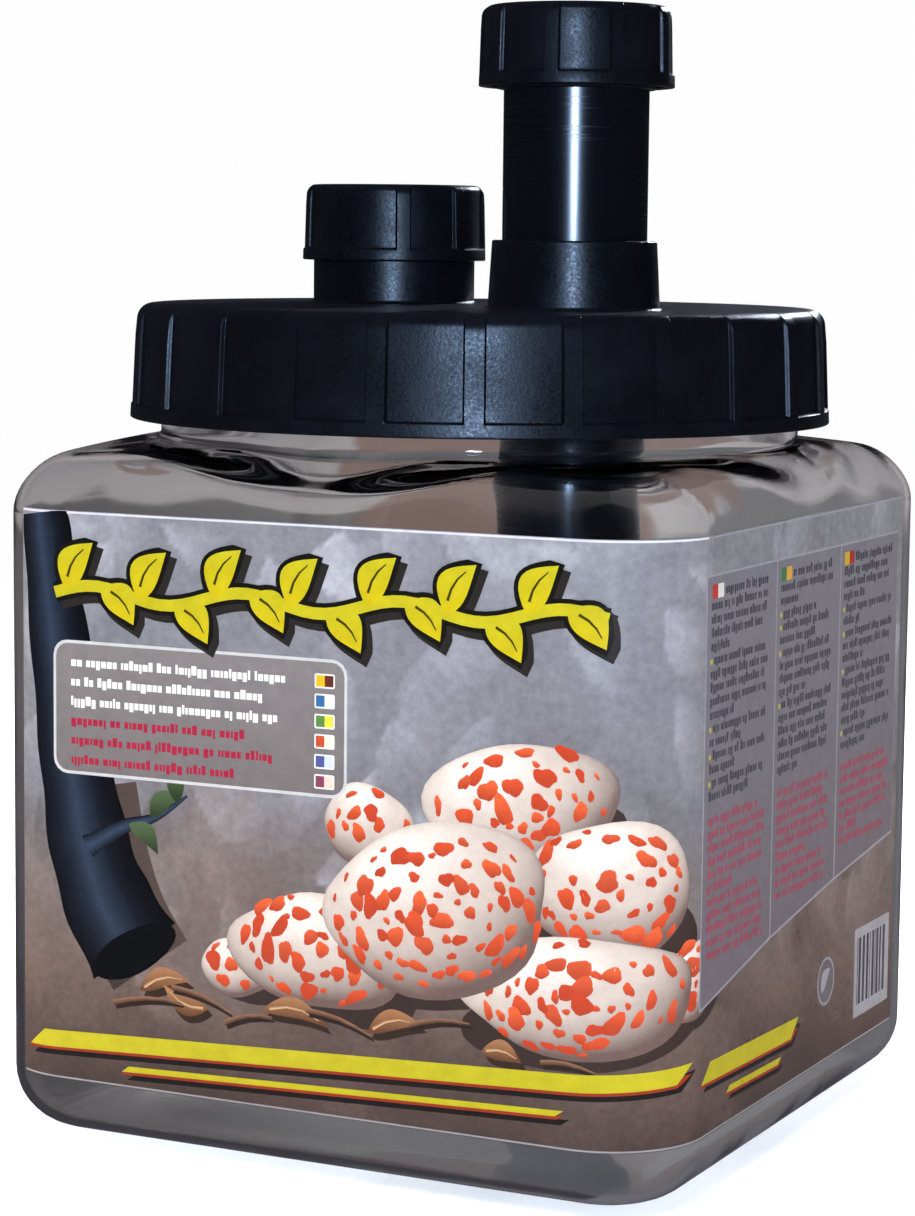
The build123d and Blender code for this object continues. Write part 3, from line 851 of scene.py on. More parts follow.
def draw_panel(art):
    """The rounded panel with coloured squares and lines of bars."""
    art.box(7.6, 61.9, 62.0, 83.9, "#b9b6b4", corner=2.6)
    art.box(8.1, 62.4, 61.5, 83.4, "#77706f", corner=2.2, shade="#6c6463")
    lines = (("#dedad4", "#d8a51c", "#5b2a1e"), ("#dedad4", "#2f5f8f", "#e4e0d8"), ("#dedad4", "#557d3a", "#c9c23a"),
             ("#98203a", "#b5482a", "#ecd9b0"), ("#98203a", "#4b4f86", "#b9bfd8"), ("#98203a", "#7c3b52", "#e0b7a8"))
    for i, (ink, *pair) in enumerate(lines):
        z = 79.6 - i * 3.2
        art.box(56.2, z - 0.35, 59.8, z + 1.95, "#d9d6d1", corner=0.3)
        art.squares(56.45, z - 0.1, 1.55, 1.8, pair)
        art.bars(11.0, 54.5 - (i * 7) % 13, z + 0.05, ink)


def draw_branch(art):
    """A dark, polished branch that leans into the picture from the left."""
    line = eased([(5.2, 104.5), (7.0, 92), (9.6, 76), (12.0, 62), (14.5, 50), (18.0, 41), (23.0, 33.5)], 6)
    art.stroke(moved(line[18:], 3.0, -2.0), [17.0], ["#3a2f2c", "#4a3d38"])
    widths = [10.0 + 0.24 * i + 0.5 * sin(i * 0.9) for i in range(len(line))]
    art.stroke(line, widths, ("#0b0c11", "#12151d", "#1c2330", "#2a3545", "#1e2634", "#12161e", "#0c0d12", "#08090c"))
    art.blob(*line[-1], 8.6, 3.6, "#090a0d", turn=30, rough=0.05)
    twig = eased([(14.0, 50.0), (21, 54.0), (27, 56.0), (33, 60.0)], 4)
    art.stroke(twig, [4.0, 3.4, 3.0, 2.7, 2.4, 2.1, 1.9, 1.7, 1.4, 1.2, 0.9, 0.6, 0.4],
               ["#12151c", "#303c50", "#0c0e13"])
    for s, z, turn in ((26, 56.0, 35), (31, 58.6, 75), (22, 54.6, -40)):
        art.leaf(s, z, 7.2, 3.3, turn, "#4a5a3c", shade="#28351f")


def draw_pebbles(art):
    """Pale river pebbles flecked with orange-red, piled on the right of the front."""
    stones = ((66, 58.0, 8.6, 6.2, -18), (92, 63.5, 15.5, 10.4, 12), (122, 36.5, 8.6, 6.4, 12),
              (42.5, 33.0, 7.0, 4.7, -6), (57, 37.0, 15.5, 9.4, -8), (107, 51.5, 14.0, 10.6, -12),
              (102, 34.6, 20, 9.6, 5), (78, 46.0, 20.5, 13.2, 8))
    area_per_fleck, fleck_spacing, most_tries = 3.9, 2.2, 900
    for s, z, rx, rz, turn in stones:
        art.blob(s + 1.4, z - rz * 0.5, rx * 1.05, rz * 0.7, "#372b27", turn, 0.05)
    for index, (s, z, rx, rz, turn) in enumerate(stones):
        art.stone(s, z, rx, rz, turn, "#dfd4ca", "#bfaea2", "#65504a")
        placed = []
        tries = 0
        while len(placed) < int(rx * rz / area_per_fleck) and tries < most_tries:
            tries += 1
            u, v = art.dice.uniform(-0.95, 0.95), art.dice.uniform(-0.95, 0.95)
            if u * u + v * v > 0.84 or any(hypot((u - p) * rx, (v - q) * rz) < fleck_spacing for p, q in placed):
                continue
            placed.append((u, v))
            ps, pz = turned_point(s, z, u * rx, v * rz, turn)
            # a nearer stone hides the fleck
            if any(((ps - cs) / cx) ** 2 + ((pz - cz) / cy) ** 2 < 0.9 for cs, cz, cx, cy, _ in stones[index + 1:]):
                continue
            squeeze = sqrt(max(1 - (u * u + v * v) * 0.8, 0.1))
            size = art.dice.choice((0.55, 0.7, 0.9, 1.1, 1.35, 1.6))
            lean = degrees(atan2(v, u)) + turn
            art.blob(ps, pz, size * squeeze, size * art.dice.uniform(1.0, 1.5),
                     art.dice.choice(("#cb4a26", "#d6592e", "#b93c20", "#c4502e")), lean, 0.3, count=16,
                     shade="#a53a20")


def draw_litter(art):
    """Brown seeds, husks and twigs on the sand in front of the pebbles."""
    for s, z, length, turn in ((24, 27.2, 10, 14), (37, 25.5, 9, 160), (47, 26.6, 12, -8), (66, 25.2, 10, 12),
                               (86, 24.6, 7, -10)):
        art.leaf(s + 0.8, z - 1.0, length, 3.6, turn, "#33261f")
        art.leaf(s, z, length, 3.4, turn, "#9a6a48", shade="#5d3a26")
        vein = bowed(s, z, length, turn, (0.1, 0.35, 0.6, 0.85), 0.15 * length)
        art.stroke(vein, [0.6, 0.5, 0.35, 0.2], ["#cfa67a", "#6b4630"])
    for s, z, length, turn in ((19, 24.6, 13, 6), (30, 28.4, 12, -16), (55, 27.4, 12, -14), (73, 27.0, 11, 8),
                               (96, 23.9, 9, -5), (40, 23.6, 9, 12)):
        twig = bowed(s, z, length, turn, (0.0, 0.25, 0.5, 0.75, 1.0), 0.7)
        art.stroke(moved(twig, 0.5, -0.6), [0.9, 0.9, 0.8, 0.6, 0.3], ["#2b211d"])
        art.stroke(twig, [0.9, 0.85, 0.75, 0.55, 0.3], ["#3d2820", "#8a6248"])


def draw_stripes(art, yellow):
    """Two yellow stripes with slanted ends along the foot of the wrap, with a red lower edge and a shadow."""
    # each band's ends along the film, its lower edge at both, its height and its slant
    for s0, s1, z0, z1, height, lean in ((5.5, 122.0, 15.6, 20.6, 3.0, 3.6), (22.0, 100.0, 13.2, 15.8, 1.0, 1.4),
                                         (128.5, 168.0, 19.2, 18.0, 3.1, 3.6), (137.0, 160.0, 15.6, 15.0, 1.0, 1.4)):
        for start, end, down, share, ink in ((1.0, 1.0, 1.3, 1.0, "#1f1a18"), (-0.5, 0.2, 0.5, 0.6, "#8c2f1b"),
                                             (0.0, 0.0, 0.0, 1.0, yellow)):
            run = s1 + end - s0 - start
            foot = [(s0 + start + run * i / 40, z0 - down + (z1 - z0) * i / 40) for i in range(41)]
            ink = mixed_ink(ink)
            art.sheet([[(s - lean, z, ink) for s, z in foot], [(s, z + height * share, ink) for s, z in foot]])


def draw_side_panel(art):
    """The paler panel on the right-hand face: three columns of bars under small coloured squares."""
    top, line_step, line_width, indent = 99.0, 2.12, 25.5, 1.3
    foot = ((123.6, 31.0), (153.4, 37.0), (183.6, 41.5), (213.4, 45.0))
    for (s0, z0), (s1, z1) in zip(foot, foot[1:]):
        art.shape([(s0, z0), (s1, z1), (s1, top), (s0, top)], "#8b8990")
        art.shape([(s0 + 0.35, z0 + 0.45), (s1 - 0.1, z1 + 0.45), (s1 - 0.1, top - 0.35), (s0 + 0.35, top - 0.35)],
                  "#6f6c73", shade="#665e63")
    columns = ((125.6, ("#a8382c", "#c8c6c0")), (155.4, ("#3c6c46", "#c2943a")), (185.6, ("#b9962c", "#94302f")))
    for (s, pair), (_, foot_z) in zip(columns, foot[1:]):
        art.squares(s, 95.2, 2.4, 2.2, pair)
        z = 95.6
        art.bars(s + 5.6, s + line_width, z, "#3f3d45")
        ends = set(art.dice.sample(range(1, 14), 4)) | {14}
        for i in range(15):
            z -= line_step
            art.bars(s + (indent if i - 1 in ends else 0.0), s + line_width, z, "#413f47", last=i in ends)
            if i - 1 in ends:
                art.box(s - 0.2, z + 0.1, s + 0.6, z + 0.9, "#b3a330")
        z -= 1.7
        for i in range(int((z - foot_z - 1.0) / line_step)):
            z -= line_step
            art.bars(s, s + line_width, z, "#8c4152", last=i == 5)


def draw_side_marks(art):
    """A block of plain upright bars and a ringed leaf under the side's panel."""
    art.box(195.4, 14.8, 213.6, 30.6, "#8f8c90", corner=0.4)
    s = 197.0
    while s < 211.6:
        width = art.dice.choice((0.35, 0.5, 0.8, 1.1))
        art.box(s, 17.0, s + width, 28.8, "#423f44")
        s += width + art.dice.choice((0.4, 0.6, 0.9))
    for radius, ink in ((4.2, "#88858a"), (3.7, "#635b5e")):
        art.blob(181.0, 24.5, radius, radius, ink, 0, 0.0)
    art.leaf(178.8, 22.8, 5.6, 2.8, 40, "#918f93")


def print_levels(shapes):
    """How many shapes lie under each one, so that the inks overlap without touching."""
    boxes, levels = [], []
    for faces in shapes:
        s = [corner[0] for face in faces for corner in face]
        z = [corner[1] for face in faces for corner in face]
        box = (min(s), max(s), min(z), max(z))
        under = [level for other, level in zip(boxes, levels)
                 if other[0] < box[1] and box[0] < other[1] and other[2] < box[3] and box[2] < other[3]]
        boxes.append(box)
        levels.append(max(under) + 1 if under else 0)
    return levels


def kept_corners(face):
    """A face's corners held inside the film, without doubles and anticlockwise, or nothing if no area is left."""
    margin, double, least_area = 0.1, 1e-3, 1e-5
    corners = []
    for s, z, ink in face:
        s, z = min(max(s, margin), FILM_LENGTH - margin), min(max(z, FILM_LOW + margin), FILM_HIGH - margin)
        if not corners or hypot(s - corners[-1][0], z - corners[-1][1]) > double:
            corners.append((s, z, ink))
    if hypot(corners[0][0] - corners[-1][0], corners[0][1] - corners[-1][1]) <= double:
        corners.pop()
    area = sum(corners[i - 1][0] * c[1] - c[0] * corners[i - 1][1] for i, c in enumerate(corners))
    if len(corners) < 3 or abs(area) < least_area:
        return []
    return corners[::-1] if area < 0 else corners


def printed_mesh(art):
    """All printed shapes as one thin-layered mesh that follows the wrap."""
    mesh = bmesh.new()
    ink_layer = mesh.loops.layers.float_color.new("ink")
    uv = mesh.loops.layers.uv.new("wrap")
    level_layer = mesh.faces.layers.int.new("level")
    levels = print_levels(art.shapes)
    step = PRINT_DEPTH / max(levels)
    for faces, level in zip(art.shapes, levels):
        for corners in map(kept_corners, faces):
            if corners:
                made = mesh.faces.new([mesh.verts.new((s, z, 0.0)) for s, z, _ in corners])
                made[level_layer] = level
                for loop, (s, z, ink) in zip(made.loops, corners):
                    loop[ink_layer] = ink
                    loop[uv].uv = (s, z)
    bmesh.ops.triangulate(mesh, faces=mesh.faces[:], ngon_method="BEAUTY")
    for s in wrap_stations(9.0)[1:-1]:
        whole = mesh.verts[:] + mesh.edges[:] + mesh.faces[:]
        bmesh.ops.bisect_plane(mesh, geom=whole, plane_co=(s, 0, 0), plane_no=(1, 0, 0), dist=1e-6)
    for vertex in mesh.verts:
        out = PRINT_OUT + step * vertex.link_faces[0][level_layer]
        vertex.co = Vector(on_wrap(vertex.co.x, vertex.co.y, out)) * MM
    data = bpy.data.meshes.new("label_print")
    mesh.to_mesh(data)
    mesh.free()
    piece = bpy.data.objects.new("label_print", data)
    bpy.context.scene.collection.objects.link(piece)
    return piece


def film_mesh():
    """The film as a closed sheet, fine on its face and coarse on its back, with its two ends filled."""
    stations = wrap_stations(0.8)
    ring = [(FILM_FACE_OUT, z) for z in spaced(FILM_LOW, FILM_HIGH, 0.8)]
    ring += [(FILM_BACK_OUT, z) for z in spaced(FILM_HIGH, FILM_LOW, 8.0)]

    def place(column, row):
        out, z = ring[row]
        return on_wrap(stations[column], z, out)
    film = wrapped_grid("label_film", len(stations) - 1, len(ring), place, weld_columns=False, weld_rows=True)
    bpy.ops.object.mode_set(mode="EDIT")
    bpy.ops.mesh.select_all(action="DESELECT")
    bpy.ops.mesh.select_mode(type="EDGE")
    bpy.ops.mesh.select_non_manifold(extend=False, use_wire=False, use_multi_face=False, use_non_contiguous=False,
                                     use_verts=False)
    bpy.ops.mesh.edge_face_add()
    bpy.ops.mesh.select_all(action="SELECT")
    bpy.ops.mesh.normals_make_consistent(inside=False)
    bpy.ops.object.mode_set(mode="OBJECT")
    return film


class KEEPER_OT_label(bpy.types.Operator):
    """The wrap label: film with its printed ground, and a generic printed picture, panels and stripes"""
    bl_idname = "keeper.label"
    bl_label = "Wrap Label"

    def execute(self, context):
        sizes, yellow = context.scene.keeper_sizes, context.scene.keeper_colours.yellow[:]
        film = film_mesh()
        film.data.materials.append(printed_ground())
        film.data.materials.append(film_back())
        uv = film.data.uv_layers[0]
        uv.name = "wrap"
        places = [(along_wrap(vertex.co / MM), vertex.co.z / MM) for vertex in film.data.vertices]
        for loop in film.data.loops:
            uv.data[loop.index].uv = places[loop.vertex_index]
        wash = film.data.color_attributes.new("wash", "FLOAT_COLOR", "POINT")
        wash.data.foreach_set("color", petal_wash(random.Random(sizes.seed), *np.array(places).T).ravel())
        for polygon in film.data.polygons:
            outward = Vector([c if abs(c) > JAR_INNER else 0.0 for c in polygon.center.xy / MM] + [0.0])
            if outward.dot(polygon.normal) < -0.1:
                polygon.material_index = 1
        smooth(film, 40.0)
        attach(film, "jar")
        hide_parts("wrap_label")

        art = Artwork(sizes.seed, sizes.bar_height / MM)
        draw_edge_lines(art)
        draw_branch(art)
        draw_pebbles(art)
        draw_litter(art)
        draw_panel(art)
        draw_garland(art, yellow)
        draw_stripes(art, yellow)
        draw_side_panel(art)
        draw_side_marks(art)
        print_piece = printed_mesh(art)
        smooth(print_piece, 40.0)
        finished(print_piece, "jar", "printed_film", printed_ink())
        return {"FINISHED"}


# ---------------------------------------------------------------- closures
def grip_mask(offset, half_rib):
    """0 on a rib, 1 in a panel, for a distance along the rim from the rib's middle, with a small rounded edge."""
    inside, width = 0.14, 0.34  # how far inside the rib the edge starts, and how wide it is
    return softened(clamped((abs(offset) - half_rib + inside) / width))


def grip_columns(panels, radius, rib_width):
    """Angles round a closure and each one's distance from its rib's middle, closer together at the ribs' edges."""
    pitch = 2 * pi * radius / panels
    half = rib_width / 2
    offsets = [0.0, half * 0.5] + [half + past for past in (-0.32, -0.14, -0.05, 0.03, 0.11, 0.2, 0.42)]
    gap = pitch / 2 - offsets[-1]
    steps = max(2, round(gap / 1.6))
    offsets += [offsets[-1] + gap * i / steps for i in range(1, steps + 1)]
    around = [-o for o in offsets[:0:-1]][1:] + offsets
    return [(2 * pi * k / panels + o / radius, o) for k in range(panels) for o in around]


class Closure(NamedTuple):
    """A gripped screw closure: ribs, panels let in between them, a plain band below, and a thread inside."""
    radius: float           # outside at the lower edge
    height: float
    draft: float            # how much less the radius is at the top
    band: float
    recess: float           # depth of the panels
    panels: int
    rib_width: float
    top_r: float
    bore_r: float
    plate: float
    inner_r: float          # the plate's opening, 0 where it is closed
    thread: Thread
    thread_step: float      # height of the faces in the bore

    def outline(self, masked):
        """The section at one angle, with its panels let in by masked times the recess."""
        def outer_r(z):
            return self.radius - self.draft * z / self.height

        depth = self.recess * masked
        lip = 0.25
        under = self.height - self.plate
        points = [(self.inner_r, self.height)]
        flat_r = outer_r(self.height) - self.recess - self.top_r
        if self.inner_r < flat_r - 0.5:
            points += [(self.inner_r + (flat_r - self.inner_r) * 0.6, self.height), (flat_r - 0.3, self.height)]
        rounding = self.top_r + self.recess - depth
        points += [(flat_r + rounding * sin(a), self.height - rounding + rounding * cos(a))
                   for a in np.radians(np.linspace(0.0, 90.0, 9))]
        start_z = self.height - self.top_r - self.recess
        points += [(outer_r(z) - depth, z) for z in np.linspace(start_z, self.band + 0.5, 6)[1:]]
        for up, share in ((0.28, 1.0), (0.12, 0.95), (0.03, 0.6), (-0.05, 0.3), (-0.14, 0.08), (-0.3, 0.0)):
            points.append((outer_r(self.band + up) - depth * share, self.band + up))
        points.append((outer_r(lip + 0.3), lip + 0.3))
        points += edge(3, self.radius, 0.0, lip, 4)[::-1] + edge(2, self.bore_r, 0.0, lip)[::-1]
        points += [(self.bore_r, z) for z in spaced(lip + 0.3, under - 0.4, self.thread_step)]
        return points + [(self.bore_r - 0.12, under - 0.12), (self.bore_r - 0.4, under), (self.inner_r, under)]

    def made(self, name, x, y, low, turn=0.0):
        """The closure as a piece, with its axis at (x, y) and its first rib turned to an angle."""
        outlines = {}
        places = []
        for angle, offset in grip_columns(self.panels, self.radius, self.rib_width):
            masked = round(grip_mask(offset, self.rib_width / 2), 4)
            if masked not in outlines:
                outlines[masked] = self.outline(masked)
            places.append((angle + turn, outlines[masked]))
        rows = len(places[0][1])

        def place(column, row):
            angle, outline = places[column]
            r, z = outline[row]
            if abs(r - self.bore_r) < 1e-6:
                r -= self.thread.stands(angle, z)
            return x + r * cos(angle), y + r * sin(angle), low + z
        if self.inner_r > 0:
            return wrapped_grid(name, len(places), rows, place, weld_rows=True)
        return wrapped_grid(name, len(places), rows - 1, place)


def finish_thread(sizes, low):
    """The small thread on the spout and on the tube's ring, as a ridge on the wall under it."""
    thread = Thread(low, 1.15, 0.85, 40.0, sizes.small_thread_height / MM, sizes.small_thread_lead / MM)
    return lambda angle, radius, z: thread.stands(angle, z) if abs(radius - FINISH_R) <= 1e-6 else 0.0


def lid_plate():
    """The plate, bored for both ports and for two arcs of air holes."""
    plate = upright("lid_plate", PLATE_R, PLATE_Z, LID_TOP_Z, 0.0, 0.0, 180)
    bores = [(COLLAR_HOLE_R, TUBE_XY.x, TUBE_XY.y, 72), (SPOUT_HOLE_R, PORT_XY.x, PORT_XY.y, 72)]
    heading = degrees(atan2(TUBE_XY.y, TUBE_XY.x))
    for side in (90.0, 270.0):
        for i in range(-2, 3):
            a = radians(heading + side + VENT_PITCH * i)
            bores.append((VENT_R, VENT_ARC_R * cos(a), VENT_ARC_R * sin(a), 16))
    cutter = joined("holes", [upright("hole", radius, LID_TOP_Z - 4, LID_TOP_Z + 2, x, y, sides)
                              for radius, x, y, sides in bores])
    applied(plate, "BOOLEAN", operation="DIFFERENCE", object=cutter, solver="EXACT")
    bpy.data.objects.remove(cutter)
    applied(plate, "BEVEL", width=0.18 * MM, segments=2, limit_method="ANGLE", angle_limit=radians(50))
    return plate


def tube_collar():
    """The tapered collar that guides the tube."""
    top = LID_TOP_Z + COLLAR_HEIGHT
    taper_height = COLLAR_HEIGHT - PORT_FOOT_R - 0.3
    bore = TUBE_R + TUBE_GAP
    wall_r = bore + COLLAR_WALL
    foot_r = wall_r + COLLAR_TAPER
    outline = [(bore, PLATE_Z), (COLLAR_ROOT_R, PLATE_Z), (COLLAR_ROOT_R + ROOT_FLARE, LID_TOP_Z - 0.4)]
    outline += edge(2, foot_r, LID_TOP_Z, PORT_FOOT_R, 5)[::-1]
    outline += [(foot_r - COLLAR_TAPER * k / 4, LID_TOP_Z + PORT_FOOT_R + taper_height * k / 4) for k in (1, 2, 3)]
    outline += edge(0, wall_r, top, 0.35, 4) + edge(1, bore, top, 0.3)
    outline += [(bore, z) for z in spaced(top - 0.6, PLATE_Z + 0.3, 2.0)]
    return turned("collar", outline, TUBE_XY)


def port_spout(sizes):
    """The short port, with a plain foot and a thread above its step."""
    outline = [(SPOUT_BORE_R, PLATE_Z), (SPOUT_ROOT_R, PLATE_Z), (SPOUT_ROOT_R + ROOT_FLARE, LID_TOP_Z - 0.4)]
    outline += edge(2, SPOUT_R, LID_TOP_Z, PORT_FOOT_R, 5)[::-1] + [(SPOUT_R, LID_TOP_Z + 3.4)]
    outline += edge(0, SPOUT_R, SPOUT_STEP_Z, 0.3)
    outline += [(FINISH_R, z) for z in spaced(SPOUT_STEP_Z + 0.05, SPOUT_RIM_Z - 0.35, 0.28)]
    outline += edge(0, FINISH_R, SPOUT_RIM_Z, 0.3) + edge(1, SPOUT_BORE_R, SPOUT_RIM_Z, 0.3)
    outline += [(SPOUT_BORE_R, z) for z in spaced(SPOUT_RIM_Z - 1.0, PLATE_Z + 0.4, 2.5)]
    return turned("spout", outline, PORT_XY, finish_thread(sizes, SPOUT_STEP_Z + 1.5))


class KEEPER_OT_lid(bpy.types.Operator):
    """The main lid: gripped skirt with its thread, plate with air holes, tapered tube collar and threaded port"""
    bl_idname = "keeper.lid"
    bl_label = "Main Lid"

    def execute(self, context):
        sizes = context.scene.keeper_sizes
        thread = Thread(1.9, 1.6, 1.2, 200.0, sizes.thread_height / MM, sizes.thread_lead / MM)
        skirt = Closure(radius=LID_R, height=LID_TOP_Z - LID_Z, draft=0.9, band=2.4, recess=0.7, panels=24,
                        rib_width=3.3, top_r=2.2, bore_r=LID_R - 2.7, plate=PLATE, inner_r=PLATE_R, thread=thread,
                        thread_step=0.36).made("lid_skirt", 0.0, 0.0, LID_Z, radians(-5.0))
        lid = joined("main_lid_moulding", [skirt, lid_plate(), tube_collar(), port_spout(sizes)])
        smooth(lid, 34.0)
        applied(lid, "WEIGHTED_NORMAL", keep_sharp=True, weight=80)
        finished(lid, "lid", "black_moulding", black_moulding(context), "main_lid")
        return {"FINISHED"}


class KEEPER_OT_small_caps(bpy.types.Operator):
    """The two like small screw caps: one on the port, one on the tube"""
    bl_idname = "keeper.small_caps"
    bl_label = "Small Caps"

    def execute(self, context):
        sizes = context.scene.keeper_sizes
        thread = Thread(1.6, 1.1, 0.8, 200.0, sizes.small_thread_height / MM, sizes.small_thread_lead / MM)
        # the plate is 0.02 mm thinner than the solid's, so that it doesn't lie in the liner's face
        shape = Closure(radius=CAP_R, height=CAP_HEIGHT, draft=0.35, band=2.1, recess=0.55, panels=9, rib_width=2.5,
                        top_r=1.3, bore_r=CAP_R - 1.7, plate=1.58, inner_r=0.0, thread=thread, thread_step=0.3)
        for name, node, low, turn in (("port_screw_cap", "port_cap", PORT_CAP_LOW, -17.0),
                                      ("tube_screw_cap", "tube_cap", TUBE_CAP_LOW, -1.0)):
            cap = shape.made(name, low.x + CAP_R, low.y + CAP_R, low.z, radians(turn))
            smooth(cap, 34.0)
            finished(cap, node, "black_moulding", black_moulding(context), node)
        return {"FINISHED"}


class KEEPER_OT_liners(bpy.types.Operator):
    """The foam liners in the lid and in the small caps"""
    bl_idname = "keeper.liners"
    bl_label = "Foam Liners"

    def execute(self, context):
        foam = liner_foam(context.scene.keeper_colours)
        for node in ("lid_liner", "port_cap_liner", "tube_cap_liner"):
            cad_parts[node].data.materials.clear()
            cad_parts[node].data.materials.append(foam)
        return {"FINISHED"}


class KEEPER_OT_tube(bpy.types.Operator):
    """The sliding tube and the threaded ring bonded on its top"""
    bl_idname = "keeper.tube"
    bl_label = "Feeder Tube"

    def execute(self, context):
        low, high = TUBE_LOW.z, TUBE_HIGH.z
        inner = TUBE_R - TUBE_WALL
        outline = edge(3, TUBE_R, low, 0.25) + [(TUBE_R, z) for z in spaced(low + 4, high - 4, 8.0)]
        outline += edge(0, TUBE_R, high, 0.2) + edge(1, inner, high, 0.25)
        outline += [(inner, z) for z in spaced(high - 4, low + 4, 8.0)] + edge(2, inner, low, 0.25)
        tube = turned("sliding_tube", outline, TUBE_XY)
        smooth(tube, 50.0)
        finished(tube, "tube", "black_tube", black_tube(context.scene.keeper_colours), "feeder_tube")

        low, high = RING_LOW.z, RING_HIGH.z
        bore = TUBE_R + RING_GLUE
        outline = edge(3, FINISH_R, low, 0.4, 4)
        outline += [(FINISH_R, z) for z in spaced(low + 0.7, high - 0.35, 0.28)] + edge(0, FINISH_R, high, 0.3)
        outline += [(bore, high), (bore, (low + high) / 2), (bore, low)]
        ring = turned("threaded_ring", outline, TUBE_XY, finish_thread(context.scene.keeper_sizes, high - 7.1))
        smooth(ring, 34.0)
        finished(ring, "tube", "black_moulding", black_moulding(context), "tube_top_ring")
        return {"FINISHED"}


# ---------------------------------------------------------------- stage
CAMERA_PLACE = (0.24892, -0.51458, 0.15122)     # in metres, as the stage is
FOCAL_PIXELS, FRAME_PIXELS = 3311.49, 1216.0    # the lens and the frame's height, both in the photo's pixels


def floor_card():
    """Pale matt card that fades out before its edge."""
    m = new_material("Studio floor, pale matt card")
    place = add(m, "ShaderNodeTexCoord").outputs["Object"]
    far = add(m, "ShaderNodeVectorMath", {0: place}, operation="LENGTH")
    # the card's fibres lie in clumps about 1.1 mm wide
    paper = add(m, "ShaderNodeTexNoise", {"Vector": place, "Scale": 900.0, "Detail": 2.0})
    tone = add(m, "ShaderNodeValToRGB", {"Fac": paper}, [(0.3, "#f3f0ec"), (0.7, "#f8f5f1")])
    card = add(m, "ShaderNodeBsdfDiffuse", {"Color": tone, "Roughness": 0.4})
    gone = add(m, "ShaderNodeBsdfTransparent")
    fade = add(m, "ShaderNodeMapRange", {"Value": far, "From Min": 0.30, "From Max": 0.85},
               interpolation_type="SMOOTHSTEP")
    both = add(m, "ShaderNodeMixShader", {0: fade, 1: card, 2: gone})
    add(m, "ShaderNodeOutputMaterial", {"Surface": both})
    return m


def pale_world():
    """White to the camera, a dim room over a paler floor to what is glossy, and a room in flat tones to what shows
    through the clear wall: greys that change along it, a brown door, and a pale wall above."""
    world = bpy.data.worlds.new("Pale studio")
    world.use_nodes = True
    world.node_tree.nodes.clear()
    away = radians(25.3)  # the room's middle, from +Y towards -X
    way = add(world, "ShaderNodeTexCoord").outputs["Generated"]
    rise = add(world, "ShaderNodeSeparateXYZ", {0: way}).outputs["Z"]
    rays = add(world, "ShaderNodeLightPath").outputs
    level = add(world, "ShaderNodeVectorMath", {0: way, 1: (1.0, 1.0, 0.0)}, operation="MULTIPLY")
    level = add(world, "ShaderNodeVectorMath", {0: level}, operation="NORMALIZE")
    across, facing = [add(world, "ShaderNodeVectorMath", {0: level, 1: axis}, operation="DOT_PRODUCT")
                      for axis in ((cos(away), sin(away), 0.0), (sin(away), -cos(away), 0.0))]
    along = add(world, "ShaderNodeMapRange", {"Value": across, "From Min": -1.0})
    wall, table, under = [add(world, "ShaderNodeValToRGB", {"Fac": along}, stops) for stops in (
        [(0.43, "#635d61"), (0.465, "#8b8483"), (0.505, "#a8a2a4"), (0.53, "#cfc9cf"), (0.555, "#aaa6ac")],
        [(0.44, "#6f686c"), (0.475, "#8b898f"), (0.52, "#85848a")],
        [(0.44, "#3c3a40"), (0.475, "#7c7b82"), (0.52, "#77767d")])]

    aside = add(world, "ShaderNodeMath", {0: across}, operation="ABSOLUTE")
    straight = add(world, "ShaderNodeMath", {0: rays["Glossy Depth"], 1: 0.5}, operation="LESS_THAN")
    # each share by what it changes with, where it sets in, where it is full, and how full
    deep, below, above, by_door, door_high, behind, before, upward = [
        add(world, "ShaderNodeMapRange", {"Value": value, "From Min": start, "From Max": full, "To Max": most},
            interpolation_type="SMOOTHSTEP")
        for value, start, full, most in (
            (rise, -0.12, -0.27, 1.0), (rise, -0.083, -0.088, 1.0), (rise, -0.078, -0.070, 0.6),
            (aside, 0.060, 0.050, 0.85), (rise, -0.15, -0.12, 1.0), (facing, -0.85, -0.45, 1.0),
            (facing, 0.2, 0.7, 1.0), (rise, -0.25, 0.05, 1.0))]
    # the door ends at the table; the near side is pale seen straight, and dim in what the clear wall mirrors
    door, pale_side, dim_side = [
        add(world, "ShaderNodeMath", {0: one, 1: two}, operation="MULTIPLY")
        for one, two in ((by_door, door_high), (behind, straight), (before, rays["Glossy Depth"]))]
    tones = {"wall": wall, "table": table, "under": under}
    for name, share, one, two in (
            ("low", deep, "table", "under"), ("room", below, "wall", "low"), ("room", above, "room", "#e6dce0"),
            ("room", door, "room", "#9c7e77"), ("room", pale_side, "room", "#e2e1e3"),
            ("room", dim_side, "room", "#1d1c20"), ("mirrored", upward, "#55535a", "#1d1c20"),
            ("seen", rays["Is Transmission Ray"], "mirrored", "room"),
            ("seen", rays["Is Camera Ray"], "seen", "#fefefe")):
        one, two = [tones[tone] if tone in tones else linear(tone) for tone in (one, two)]
        tones[name] = add(world, "ShaderNodeMix", {0: share, 6: one, 7: two}, data_type="RGBA")
    light = add(world, "ShaderNodeBackground", {"Color": tones["seen"]})
    add(world, "ShaderNodeOutputWorld", {"Surface": light})
    return world


